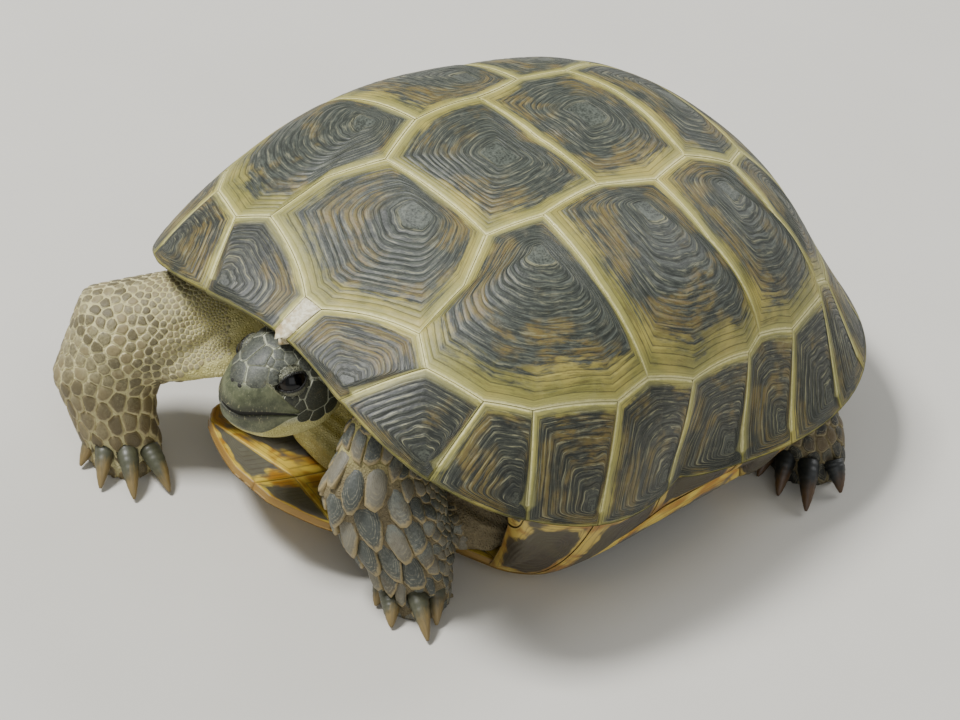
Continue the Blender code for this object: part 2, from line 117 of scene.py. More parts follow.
class Graph:
    """The node tree of one new material, with short ways to add what this model uses."""

    def __init__(self, name: str) -> None:
        """Make the material and find its shader.

        Args:
            name: the material's name.
        """
        self.material = bpy.data.materials.new(name)
        self.material.use_nodes = True
        self.tree = self.material.node_tree
        self.shader = self.tree.nodes["Principled BSDF"]

    def node(
        self, kind: str, settings: dict | None = None, inputs: dict | None = None, output: int | str = 0,
    ) -> Value:
        """Add any node.

        Args:
            kind: the node's type.
            settings: its properties, set before its sockets.
            inputs: socket name or index to a number, vector, colour or Value.
            output: the output socket wanted.

        Returns:
            That output as a Value.
        """
        made = self.tree.nodes.new(kind)
        for name, value in (settings or {}).items():
            setattr(made, name, value)
        for key, value in (inputs or {}).items():
            self.feed(made.inputs[key], value)
        return Value(self, made.outputs[output])

    def feed(self, socket: NodeSocket, value: "Value | float | Sequence[float]") -> None:
        """Give a socket its value.

        Args:
            socket: the input to fill.
            value: a Value to link, or what the socket is set to.
        """
        if isinstance(value, Value):
            self.tree.links.new(value.socket, socket)
        elif isinstance(value, tuple) and socket.type == "RGBA":
            socket.default_value = (*value, 1.0)
        else:
            socket.default_value = value

    def attributes(self, *names: str) -> list[Value]:
        """Mesh attributes' numbers, in the order of their names."""
        return [self.node("ShaderNodeAttribute", {"attribute_name": name}, output="Fac") for name in names]

    def place(self, scale: Sequence[float] = (1.0, 1.0, 1.0)) -> Value:
        """Read the place on the piece.

        Args:
            scale: how much each axis is stretched.

        Returns:
            Object coordinates in millimetres.
        """
        here = self.node("ShaderNodeTexCoord", output="Object")
        factors = tuple(value / MM for value in scale)
        return self.node("ShaderNodeVectorMath", {"operation": "MULTIPLY"}, {0: here, 1: factors})

    def part(self, vector: Value, index: int) -> Value:
        """One coordinate of a vector."""
        return self.node("ShaderNodeSeparateXYZ", None, {0: vector}, index)

    def joined(self, x: "Value | float", y: "Value | float", z: "Value | float") -> Value:
        """A vector from three numbers."""
        return self.node("ShaderNodeCombineXYZ", None, {0: x, 1: y, 2: z})

    def noise(
        self, where: Value, size: float, detail: float = 3.0, rough: float = 0.55, twist: float = 0.0,
    ) -> Value:
        """Soft noise from 0 to 1, whose features are about size across."""
        inputs = {"Vector": where, "Scale": 1 / size, "Detail": detail, "Roughness": rough}
        return self.node("ShaderNodeTexNoise", {"noise_dimensions": "3D"}, inputs | {"Distortion": twist})

    def cells(self, where: Value, size: float, feature: str = "DISTANCE_TO_EDGE") -> Value:
        """Cell noise; by default the distance to the nearest cell's edge."""
        inputs = {"Vector": where, "Scale": 1.0 / size, "Randomness": 0.9}
        return self.node("ShaderNodeTexVoronoi", {"feature": feature}, inputs)

    def mix(self, share: "Value | float", first: "Value | Colour", second: "Value | Colour") -> Value:
        """Mix two colours by a share from 0 to 1."""
        settings = {"data_type": "RGBA", "clamp_factor": True}
        return self.node("ShaderNodeMix", settings, {0: share, 6: first, 7: second}, output=2)

    def bump(self, height: Value, depth: float, strength: float) -> Value:
        """A normal from a height of 0 to 1 that stands for depth in millimetres."""
        inputs = {"Height": height, "Distance": depth * MM, "Strength": strength}
        return self.node("ShaderNodeBump", None, inputs)

    def finish(
        self, colour: Value, roughness: "Value | float", normal: Value | None = None, **constants: float,
    ) -> Material:
        """Join colour, roughness and normal to the shader.

        Args:
            colour: the base colour.
            roughness: from 0, polished, to 1, dull.
            normal: the bumped normal, if any.
            constants: plain numbers for the shader's other sockets, spaces written as underscores.

        Returns:
            The finished material.
        """
        self.feed(self.shader.inputs["Base Color"], colour)
        self.feed(self.shader.inputs["Roughness"], roughness)
        if normal is not None:
            self.feed(self.shader.inputs["Normal"], normal)
        for name, value in constants.items():
            self.shader.inputs[name.replace("_", " ")].default_value = value
        return self.material


# --- finishes


def dimmed(colour: Colour, share: float) -> Colour:
    """A colour made darker, or paler where the share is over 1."""
    return tuple(value * share for value in colour)


@dataclass(frozen=True)
class Finish:
    """A named finish, which paints the node tree of one new material."""

    name: str

    def build(self) -> Material:
        """Make the material."""
        g = Graph(self.name)
        return self.paint(g, g.place())

    def paint(self, g: Graph, where: Value) -> Material:
        """Join the finish's colours, roughness and relief.

        Args:
            g: the new material's graph.
            where: the place on the piece.

        Returns:
            The finished material.
        """
        raise NotImplementedError


@dataclass(frozen=True)
class ShieldFinish(Finish):
    """Horn of the shell: a dark ringed field within an olive border and a pale seam."""

    dark: Colour = (0.017, 0.021, 0.015)
    slate: Colour = (0.088, 0.099, 0.078)
    border: Colour = (0.270, 0.250, 0.056)
    fresh: Colour = (0.60, 0.56, 0.17)
    weathered: Colour = (0.54, 0.4368, 0.102)
    rust: Colour = (0.21, 0.105, 0.020)
    edge_from: float = 0.78
    edge_to: float = 0.93
    # how strongly the painted highlight along the ring crests shows
    crest_highlight_share: float = 0.42
    low_shift: float = 0.05

    def paint(self, g: Graph, where: Value) -> Material:
        """Paint the material."""
        ring, grown, seam, low, shade = g.attributes("ring", "grown", "seam", "low", "shade")
        broad = g.noise(where, 14.0, 3.0)
        fine = g.noise(where, 1.6, 4.0, 0.65)
        x, y = g.part(where, 0), g.part(where, 1)
        along = g.joined(x * 0.11 + shade * 9.0, y * 0.11, ring * 1.15)
        streak = g.noise(along, 1.0, 4.0, 0.7)
        along_fine = g.joined(x * 0.20, y * 0.20 + shade * 7.0, ring * 5.0)
        hair = g.noise(along_fine, 1.0, 3.0, 0.7)
        phase = (ring + (fine - 0.5) * 0.16).fraction()
        groove = phase.above(0.86, 0.97) + phase.below(0.02, 0.10)
        crest = phase.above(0.30, 0.62) * phase.below(0.70, 0.88)
        field_edge = grown + (streak - 0.5) * 0.46 + (broad - 0.5) * 0.34 + low * self.low_shift
        bordered = field_edge.above(self.edge_from, self.edge_to)
        slate = g.mix(hair.above(0.36, 0.70), self.dark, self.slate)
        slate = g.mix(streak.above(0.58, 0.72) * 0.35, slate, dimmed(self.slate, 1.5))
        rusty = (broad + grown * 0.14).above(0.54, 0.66) * streak.above(0.40, 0.58) * grown.above(0.05, 0.4)
        field_colour = g.mix(rusty * 0.62, slate, g.mix(fine, self.rust, dimmed(self.border, 0.8)))
        # Painted highlight: pale colour along the crests of the growth rings.
        crest_highlight = crest * hair.above(0.50, 0.66) * grown.above(-0.05, 0.05)
        field_colour = g.mix(crest_highlight * self.crest_highlight_share, field_colour, (0.34, 0.32, 0.17))
        olive = g.mix(hair.above(0.30, 0.75), dimmed(self.border, 0.62), self.border)
        olive = g.mix(broad.above(0.45, 0.72) * 0.5, olive, self.weathered)
        olive = g.mix(streak.above(0.56, 0.68) * grown.below(0.90, 1.0) * 0.55, olive, (0.085, 0.066, 0.016))
        colour = g.mix(bordered, field_colour, olive)
        colour = g.mix(groove * 0.55 * grown.above(-0.02, 0.04), colour, dimmed(self.dark, 0.5))
        speck = g.cells(where, 0.55, "F1")
        areola = grown.below(-0.06, 0.0)
        colour = g.mix(areola * speck.above(0.35, 0.7) * 0.40, colour, dimmed(self.slate, 1.6))
        lip = grown.above(-0.08, -0.02) * grown.below(0.01, 0.04)
        colour = g.mix(lip * low.above(0.45, 0.8) * hair.above(0.4, 0.6) * 0.45, colour, (0.45, 0.42, 0.22))
        pale = (seam + (fine - 0.5) * 0.8).below(0.22, 0.80)
        halo = (seam + (broad - 0.5) * 2.5).below(0.8, 2.9)
        colour = g.mix(halo * 0.32, colour, self.fresh)
        colour = g.mix(pale * 0.78, colour, (0.80, 0.75, 0.36))
        dust = g.noise(where, 3.0, 5.0, 0.7).above(0.50, 0.75)
        colour = g.mix(dust * 0.10, colour, (0.46, 0.42, 0.26))
        grain = hair * 0.6 + speck * 0.25 + fine * 0.35
        roughness = 0.40 + fine * 0.22 + groove * 0.18
        gloss = {"Specular_IOR_Level": 0.42, "Coat_Weight": 0.06, "Coat_Roughness": 0.32}
        return g.finish(colour, roughness, g.bump(grain, 0.16, 0.8), **gloss)


@dataclass(frozen=True)
class BellyFinish(Finish):
    """Horn under the shell: yellow with worn slate patches that keep off the seams."""

    name: str = "belly_horn"
    orange: Colour = (0.42, 0.20, 0.018)
    yellow: Colour = (0.72, 0.53, 0.080)
    dark: Colour = (0.032, 0.036, 0.034)
    slate: Colour = (0.155, 0.168, 0.160)

    def paint(self, g: Graph, where: Value) -> Material:
        """Paint the material."""
        ring, grown, seam = g.attributes("ring", "grown", "seam")
        broad, fine = g.noise(where, 16.0, 3.0), g.noise(where, 1.8, 4.0, 0.65)
        streak = g.noise(g.joined(ring * 1.3, broad * 6.0, fine), 1.0, 3.0)
        phase = (ring + (fine - 0.5) * 0.2).fraction()
        groove = phase.above(0.84, 0.96) + phase.below(0.02, 0.12)
        cloud = g.noise(where, 9.0, 2.0, 0.5, 0.8)
        ochre = g.mix(cloud.above(0.36, 0.60), self.orange, self.yellow)
        patch = (grown + (broad - 0.5) * 0.9 + (cloud - 0.5) * 0.30 + (streak - 0.5) * 0.16).below(0.72, 0.84)
        colour = g.mix(patch * 0.93, ochre, g.mix(streak * 0.5 + fine * 0.5, self.dark, self.slate))
        colour = g.mix(groove * 0.45, colour, (0.06, 0.04, 0.02))
        colour = g.mix(seam.below(0.3, 0.9) * 0.45, colour, dimmed(self.yellow, 0.8))
        colour = g.mix(seam.below(0.04, 0.18) * 0.5, colour, (0.16, 0.10, 0.03))
        wall = tuple((dark + orange) / 2 for dark, orange in zip(self.dark, self.orange))
        colour = g.mix(grown.above(0.993, 0.999) * 0.70, colour, wall)
        grain = fine * 0.6 + streak * 0.4
        normal = g.bump(grain, 0.12, 0.7)
        return g.finish(colour, 0.38 + fine * 0.25, normal, Coat_Weight=0.10, Coat_Roughness=0.3)


@dataclass(frozen=True)
class NuchalFinish(Finish):
    """The pale, worn, slightly pink first scute over the neck."""

    name: str = "nuchal_horn"

    def paint(self, g: Graph, where: Value) -> Material:
        """Paint the material."""
        fine = g.noise(where, 1.2, 4.0, 0.65)
        broad = g.noise(where, 4.0, 3.0)
        colour = g.mix(fine.above(0.35, 0.65), (0.52, 0.45, 0.27), (0.80, 0.76, 0.55))
        colour = g.mix(broad.above(0.50, 0.64) * 0.7, colour, (0.38, 0.25, 0.08))
        return g.finish(colour, 0.55, g.bump(fine, 0.18, 0.8))


@dataclass(frozen=True)
class SkinFinish(Finish):
    """Soft hide: olive-yellow and finely granular, darker and greyer under the scales, and with painted shade
    where it is marked shaded.
    """

    name: str = "hide"

    def paint(self, g: Graph, where: Value) -> Material:
        """Paint the material."""
        scaled, crown, shaded = g.attributes("scaled", "crown", "shaded")
        grain = g.cells(where, 0.80).above(0.0, 0.42)
        fine = g.noise(where, 0.9, 3.0, 0.6)
        broad = g.noise(where, 8.0, 3.0)
        folds = g.noise(g.place((0.5, 0.5, 1.4)), 2.6, 3.0, 0.6)
        colour = g.mix(broad.above(0.35, 0.70), (0.50, 0.455, 0.155), (0.68, 0.635, 0.29))
        colour = g.mix(grain.below(0.0, 0.8) * 0.42, colour, (0.27, 0.225, 0.075))
        colour = g.mix(folds.above(0.55, 0.75) * 0.40, colour, (0.74, 0.69, 0.36))
        net = g.mix(fine, (0.42, 0.37, 0.17), (0.66, 0.61, 0.33))
        # Painted shade: a much darker net where the skin is marked as shaded.
        net = g.mix(shaded, net, g.mix(fine, (0.085, 0.066, 0.034), (0.24, 0.195, 0.105)))
        colour = g.mix(scaled, colour, net)
        colour = g.mix(crown, colour, g.mix(fine, (0.29, 0.30, 0.21), (0.52, 0.53, 0.41)))
        height = grain * 0.6 + folds * 0.6 + fine * 0.2
        return g.finish(colour, 0.62 + fine * 0.2, g.bump(height, 0.34, 0.9), Specular_IOR_Level=0.4)


@dataclass(frozen=True)
class ScaleFinish(Finish):
    """Horny scales of a limb: a grey-brown middle, fine rings and a tan rim."""

    middle: Colour = (0.060, 0.056, 0.036)
    light: Colour = (0.17, 0.16, 0.105)
    rim: Colour = (0.46, 0.37, 0.16)
    rust: Colour = (0.150, 0.092, 0.026)
    line: Colour = (0.40, 0.37, 0.24)
    ringed: float = 0.5
    rust_share: float = 0.45
    rim_from: float = 0.80
    # how strongly painted shade darkens the scales near the floor
    low_shade: float = 0.0

    def paint(self, g: Graph, where: Value) -> Material:
        """Paint the material."""
        rim, fore, tone, reach = g.attributes("rim", "fore", "tone", "reach")
        fine = g.noise(where, 0.8, 4.0, 0.65)
        broad = g.noise(where, 9.0, 3.0)
        rings = ((rim + (fine - 0.5) * 0.10) * reach * 2.4).fraction()
        line = rings.above(0.58, 0.90)
        colour = g.mix((fine * 0.7 + tone * 0.5).above(0.40, 0.85), self.middle, self.light)
        colour = g.mix(line * rim.above(0.2, 0.5) * fine.above(0.35, 0.6) * self.ringed, colour, self.line)
        colour = g.mix(reach.below(0.55, 1.15) * 0.6, colour, dimmed(self.rim, 0.75))
        warm = (broad * 0.8 + tone * 0.40 + fore * 0.10).above(0.58, 0.76)
        colour = g.mix(warm * self.rust_share, colour, self.rust)
        edge = (rim + fore * 0.14 + (fine - 0.5) * 0.35).above(self.rim_from, self.rim_from + 0.20)
        colour = g.mix(edge * 0.85, colour, self.rim)
        # Painted shade: the scales darker towards the floor, below about 16 to 36 mm.
        low = (g.part(where, 2) + (broad - 0.5) * 14.0).below(16.0, 36.0)
        painted_shade = g.mix(rim.above(0.6, 1.0), (0.085, 0.058, 0.022), (0.30, 0.225, 0.095))
        colour = g.mix(low * self.low_shade, colour, painted_shade)
        height = line * 0.4 + fine * 0.6
        return g.finish(colour, 0.42 + fine * 0.25, g.bump(height, 0.16, 0.9), Specular_IOR_Level=0.5)


@dataclass(frozen=True)
class PlateFinish(Finish):
    """Slate plates of the head, nearly black at the temples and paler on the crown, where the paleness is
    partly painted light from above.
    """

    name: str = "head_horn"

    def paint(self, g: Graph, where: Value) -> Material:
        """Paint the material."""
        rim, tone = g.attributes("rim", "tone")
        height = g.part(where, 2)
        fine = g.noise(where, 0.55, 4.0, 0.7)
        broad = g.noise(where, 3.0, 3.0)
        # Painted light: plates high on the head are paler, as if lit from above, and some plates there paler
        # still.
        crown = (height + (broad - 0.5) * 6.0).above(57.0, 63.0)
        low = g.mix(fine.above(0.35, 0.75), (0.016, 0.018, 0.010), (0.055, 0.058, 0.034))
        high = g.mix(fine.above(0.30, 0.72), (0.026, 0.030, 0.023), (0.110, 0.118, 0.090))
        colour = g.mix(crown, low, high)
        colour = g.mix(tone.above(0.5, 1.0) * crown * 0.30, colour, (0.18, 0.185, 0.135))
        colour = g.mix(broad.above(0.56, 0.72) * 0.40, colour, (0.085, 0.072, 0.024))
        speck = g.noise(where, 0.35, 2.0).above(0.62, 0.72)
        colour = g.mix(speck * 0.30, colour, (0.40, 0.40, 0.28))
        # Pale plate edges: partly the pale net between the plates, partly a painted highlight on their
        # rounded rims.
        colour = g.mix((rim + (fine - 0.5) * 0.12).above(0.93, 1.00) * 0.75, colour, (0.50, 0.51, 0.38))
        normal = g.bump(fine, 0.14, 0.9)
        return g.finish(colour, 0.45 + fine * 0.2, normal, Coat_Weight=0.08, Coat_Roughness=0.3)


@dataclass(frozen=True)
class BeakFinish(Finish):
    """Olive-black horn of the jaws, with pale scuffs; the pale specks towards the nose are partly painted
    highlight.
    """

    name: str = "beak_horn"

    def paint(self, g: Graph, where: Value) -> Material:
        """Paint the material."""
        turned, level = g.attributes("round", "level")
        fine = g.noise(where, 0.5, 4.0, 0.7)
        broad = g.noise(where, 3.4, 3.0)
        upright = g.noise(g.place((1.0, 1.0, 0.30)), 0.6, 3.0, 0.6)
        colour = g.mix(broad.above(0.3, 0.7), (0.042, 0.050, 0.020), (0.128, 0.140, 0.068))
        colour = g.mix(upright.above(0.5, 0.75) * 0.45, colour, (0.22, 0.225, 0.120))
        # Pale specks towards the nose: partly rough horn, partly painted highlight on the front of the beak.
        colour = g.mix(fine.above(0.56, 0.76) * turned.below(0.3, 0.75) * 0.55, colour, (0.36, 0.36, 0.25))
        colour = g.mix(level.below(0.02, 0.12) * fine.above(0.4, 0.6) * 0.55, colour, (0.42, 0.40, 0.24))
        smudge = (level + (broad - 0.5) * 0.6).above(0.58, 0.92) * turned.below(0.30, 0.80)
        colour = g.mix(smudge * 0.85, colour, (0.018, 0.018, 0.008))
        colour = g.mix(smudge * upright.above(0.56, 0.66) * 0.50, colour, (0.40, 0.37, 0.19))
        normal = g.bump(fine * 0.6 + upright * 0.4, 0.22, 0.9)
        return g.finish(colour, 0.42 + fine * 0.25, normal, Coat_Weight=0.08, Coat_Roughness=0.35)


@dataclass(frozen=True)
class LidFinish(Finish):
    """Eyelids: black at the margin, then dark olive with small pale grains."""

    name: str = "eyelid"

    def paint(self, g: Graph, where: Value) -> Material:
        """Paint the material."""
        (level,) = g.attributes("level")
        cells = g.cells(where, 0.80).above(0.03, 0.22)
        fine = g.noise(where, 0.6, 3.0, 0.6)
        skin = g.mix(cells, (0.17, 0.17, 0.11), g.mix(fine, (0.030, 0.033, 0.020), (0.115, 0.120, 0.078)))
        colour = g.mix(level.below(0.14, 0.36), skin, (0.006, 0.006, 0.004))
        return g.finish(colour, 0.5, g.bump(cells * 0.7 + fine * 0.3, 0.26, 0.9))


@dataclass(frozen=True)
class EyeFinish(Finish):
    """A black pupil in a very dark brown iris, under a wet gloss."""

    name: str = "eye_wet"

    def paint(self, g: Graph, where: Value) -> Material:
        """Paint the material."""
        (gaze,) = g.attributes("gaze")
        fine = g.noise(where, 0.5, 3.0)
        iris = g.mix(fine, (0.004, 0.003, 0.002), (0.014, 0.009, 0.005))
        colour = g.mix(gaze.above(0.86, 0.89), iris, (0.001, 0.001, 0.001))
        return g.finish(colour, 0.16, None, Specular_IOR_Level=0.28, Coat_Weight=0.08, Coat_Roughness=0.05)


@dataclass(frozen=True)
class ClawFinish(Finish):
    """Claw horn: dark olive-grey at the root, orange-brown and translucent-looking at the tip."""

    name: str = "claw_horn"
    root: Colour = (0.036, 0.037, 0.021)
    tip: Colour = (0.120, 0.085, 0.030)

    def paint(self, g: Graph, where: Value) -> Material:
        """Paint the material."""
        along, tone, turn = g.attributes("along", "tone", "turn")
        fine = g.noise(where, 0.6, 4.0, 0.65)
        streak = g.noise(g.joined(turn * 2.5, along * 3.0, tone * 9.0), 0.9, 4.0)
        root = g.mix(fine, self.root, dimmed(self.root, 2.4))
        tip = g.mix(streak, self.tip, dimmed(self.tip, 2.1))
        colour = g.mix((along + (streak - 0.5) * 0.5 + turn * 0.12).above(0.42, 0.80), root, tip)
        normal = g.bump(streak * 0.5 + fine * 0.5, 0.12, 0.8)
        return g.finish(colour, 0.38 + fine * 0.2, normal, Coat_Weight=0.15, Coat_Roughness=0.25)


@dataclass(frozen=True)
class HollowFinish(Finish):
    """The unlit inside of the mouth and nostrils."""

    name: str = "hollow"

    def paint(self, g: Graph, where: Value) -> Material:
        """Paint the material."""
        return g.finish(g.mix(g.noise(where, 1.0), (0.006, 0.006, 0.004), (0.022, 0.020, 0.014)), 0.8)


# --- small geometry


def eased(value: Array, low: float, high: float) -> Array:
    """A smooth step from 0 at low to 1 at high."""
    share = np.clip((value - low) / (high - low), 0.0, 1.0)
    return share * share * (3 - 2 * share)


def series(coefficients: Sequence[float], angle: Array) -> Array:
    """A cosine series."""
    return sum(value * np.cos(turn * angle) for turn, value in enumerate(coefficients))


def unit(vectors: Array) -> Array:
    """Vectors at length one."""
    return vectors / np.maximum(np.linalg.norm(vectors, axis=-1, keepdims=True), 1e-12)


def circle(count: int, start: float = 0.0) -> Array:
    """Angles spread evenly round a full turn."""
    return np.linspace(0, 2 * math.pi, count, endpoint=False) + start


def ripple(angle: Array, rng: Generator, turns: Sequence[int]) -> Array:
    """A smooth closed wave of about unit height round a circle, from cosines of random phase."""
    phases = rng.uniform(0, 2 * math.pi, len(turns))
    return sum(np.cos(turn * angle + phase) for turn, phase in zip(turns, phases)) / math.sqrt(len(turns))


def softened(loop: Array, rounds: int) -> Array:
    """Round off the corners of a closed loop.

    Args:
        loop: its points.
        rounds: how often each point is drawn to its neighbours.

    Returns:
        The new points.
    """
    for _ in range(rounds):
        loop = (np.roll(loop, 1, axis=0) + loop * 2 + np.roll(loop, -1, axis=0)) / 4
    return loop


def flattened(vectors: Array, normals: Array) -> Array:
    """Vectors laid into the planes that the normals stand on, at length one."""
    return unit(vectors - (vectors * normals).sum(1, keepdims=True) * normals)


def read(items: bpy.types.bpy_prop_collection, key: str) -> Array:
    """Read a three-number property.

    Args:
        items: one of a mesh's collections.
        key: the property's name.

    Returns:
        The numbers, a row for each item.
    """
    flat = np.empty(len(items) * 3, np.float32)
    items.foreach_get(key, flat)
    return flat.reshape(-1, 3).astype(float)


def points_of(mesh: Mesh) -> Array:
    """Every vertex of a mesh, in millimetres."""
    return read(mesh.vertices, "co") / MM


def normals_of(mesh: Mesh) -> Array:
    """Every vertex's normal."""
    return read(mesh.vertex_normals, "vector")


def set_points(mesh: Mesh, points: Array) -> None:
    """Place every vertex of a mesh, given in millimetres."""
    mesh.vertices.foreach_set("co", (points * MM).astype(np.float32).ravel())
    mesh.update()


def set_layers(mesh: Mesh, layers: dict[str, Array]) -> None:
    """Store numbers for the finishes to read.

    Args:
        mesh: the mesh.
        layers: one number a vertex, under each attribute's name.
    """
    for name, values in layers.items():
        layer = mesh.attributes.new(name, "FLOAT", "POINT")
        layer.data.foreach_set("value", np.asarray(values, np.float32).ravel())


@contextmanager
def modelled(mesh: Mesh) -> Iterator[BMesh]:
    """Shape a mesh with bmesh operators.

    Args:
        mesh: the mesh, written to at the end.

    Yields:
        A bmesh that starts as the mesh.
    """
    bm = bmesh.new()
    bm.from_mesh(mesh)
    yield bm
    bm.to_mesh(mesh)
    bm.free()


def add_ball(bm: BMesh, centre: Sequence[float], half: Sequence[float], fineness: int) -> None:
    """Add an egg by its middle and its half sizes, with its faces divided as often as fineness says."""
    where = Matrix.Translation(Vector(np.multiply(centre, MM))) @ Matrix.Diagonal((*half, 1.0))
    bmesh.ops.create_icosphere(bm, subdivisions=fineness, radius=MM, matrix=where)


def ball(name: str, centre: Sequence[float], half: Sequence[float], fineness: int) -> Mesh:
    """Model an egg as a mesh of its own.

    Args:
        name: the mesh's name.
        centre: its middle.
        half: its half sizes.
        fineness: how often its faces are divided.

    Returns:
        The mesh.
    """
    mesh = bpy.data.meshes.new(name)
    with modelled(mesh) as bm:
        add_ball(bm, centre, half, fineness)
    return mesh


def wrapped_grid(name: str, points: Array, layers: dict[str, Array]) -> Mesh:
    """A closed body from rows of points round it, whose first and last rows close it.

    Args:
        name: the mesh's name.
        points: rows by columns by 3, in millimetres.
        layers: rows by columns of numbers for each attribute.

    Returns:
        The merged mesh with its faces outwards.
    """
    rows, around = points.shape[0] - 1, points.shape[1]
    mesh = bpy.data.meshes.new(name)
    with modelled(mesh) as bm:
        bmesh.ops.create_grid(bm, x_segments=around, y_segments=rows, size=1.0)
    spots = (read(mesh.vertices, "co") + 1) / 2
    column = np.rint(spots[:, 0] * around).astype(int) % around
    row = np.rint(spots[:, 1] * rows).astype(int)
    set_points(mesh, points[row, column])
    set_layers(mesh, {key: values[row, column] for key, values in layers.items()})
    with modelled(mesh) as bm:
        bmesh.ops.remove_doubles(bm, verts=bm.verts, dist=0.002 * MM)
        bmesh.ops.recalc_face_normals(bm, faces=bm.faces)
    return mesh


def is_near(points: Array, nodes: Sequence[str], reach: float) -> Array:
    """Tell which points lie near some nodes.

    Args:
        points: the points.
        nodes: the nodes' names.
        reach: how near to a surface, in millimetres.

    Returns:
        True for each point that does.
    """
    bm = bmesh.new()
    for node in nodes:
        bm.from_mesh(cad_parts[node].data)
    tree = BVHTree.FromBMesh(bm)
    bm.free()
    return np.array([tree.find_nearest(Vector(point * MM), reach * MM)[0] is not None for point in points])


# --- pieces and slots


class Side(Enum):
    """Which side of the animal."""

    LEFT = "left"
    RIGHT = "right"

    @property
    def sign(self) -> int:
        """1 on the left, where x is positive, and -1 on the right."""
        return 1 if self is Side.LEFT else -1


class Slot(Enum):
    """The kinds of surface that the pieces are."""

    SCUTE = "scute"
    BELLY = "belly"
    SKIN = "skin"
    EYE = "eye"
    CLAW = "claw"


def link(mesh: Mesh, material: Material, name: str) -> Object:
    """Put a smooth-shaded mesh in the scene.

    Args:
        mesh: the mesh.
        material: what it wears.
        name: the object's name.

    Returns:
        The object.
    """
    mesh.materials.clear()
    mesh.materials.append(material)
    mesh.shade_smooth()
    obj = bpy.data.objects.new(name, mesh)
    bpy.context.scene.collection.objects.link(obj)
    return obj


@dataclass
class Assembly:
    """A part of the animal, which keeps the pieces that it has made."""

    pieces: list[Object] = field(default_factory=list, init=False)

    def build(self) -> list[Object]:
        """Model and dress everything in the part.

        Returns:
            Its pieces.
        """
        raise NotImplementedError

    def add(
        self, name: str, mesh: Mesh, material: Material, slot: Slot, *nodes: str,
    ) -> Object:
        """Fix a mesh to the model's one body as a piece.

        Args:
            name: the piece's name.
            mesh: its finished mesh.
            material: what it wears.
            slot: the kind of surface that it is; not used.
            nodes: the frame's nodes that it stands for.

        Returns:
            The piece.
        """
        obj = link(mesh, material, name)
        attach(obj, "root")
        if nodes:
            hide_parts(*nodes)
        self.pieces.append(obj)
        return obj


# --- the shell's own shape


class Surface:
    """A surface read from a flat chart, with normals from small steps along the chart."""

    step: ClassVar[float] = 0.004
    facing: ClassVar[float] = 1.0

    def bare(self, chart: Array) -> Array:
        """Find points of the surface before it is placed.

        Args:
            chart: places in the flat chart.

        Returns:
            The points.
        """
        raise NotImplementedError

    def placed(self, points: Array) -> Array:
        """The same points in the model's frame."""
        return points + PLACE

    def __call__(self, chart: Array, height: Array | float = 0.0) -> Array:
        """Find points over the surface.

        Args:
            chart: places in the flat chart.
            height: how far outside the surface each stands.

        Returns:
            The points in the model's frame.
        """
        first, second = (self.bare(chart + move) - self.bare(chart - move) for move in np.eye(2) * self.step)
        outward = unit(np.cross(first, second)) * self.facing
        return self.placed(self.bare(chart) + outward * np.asarray(height)[..., None])


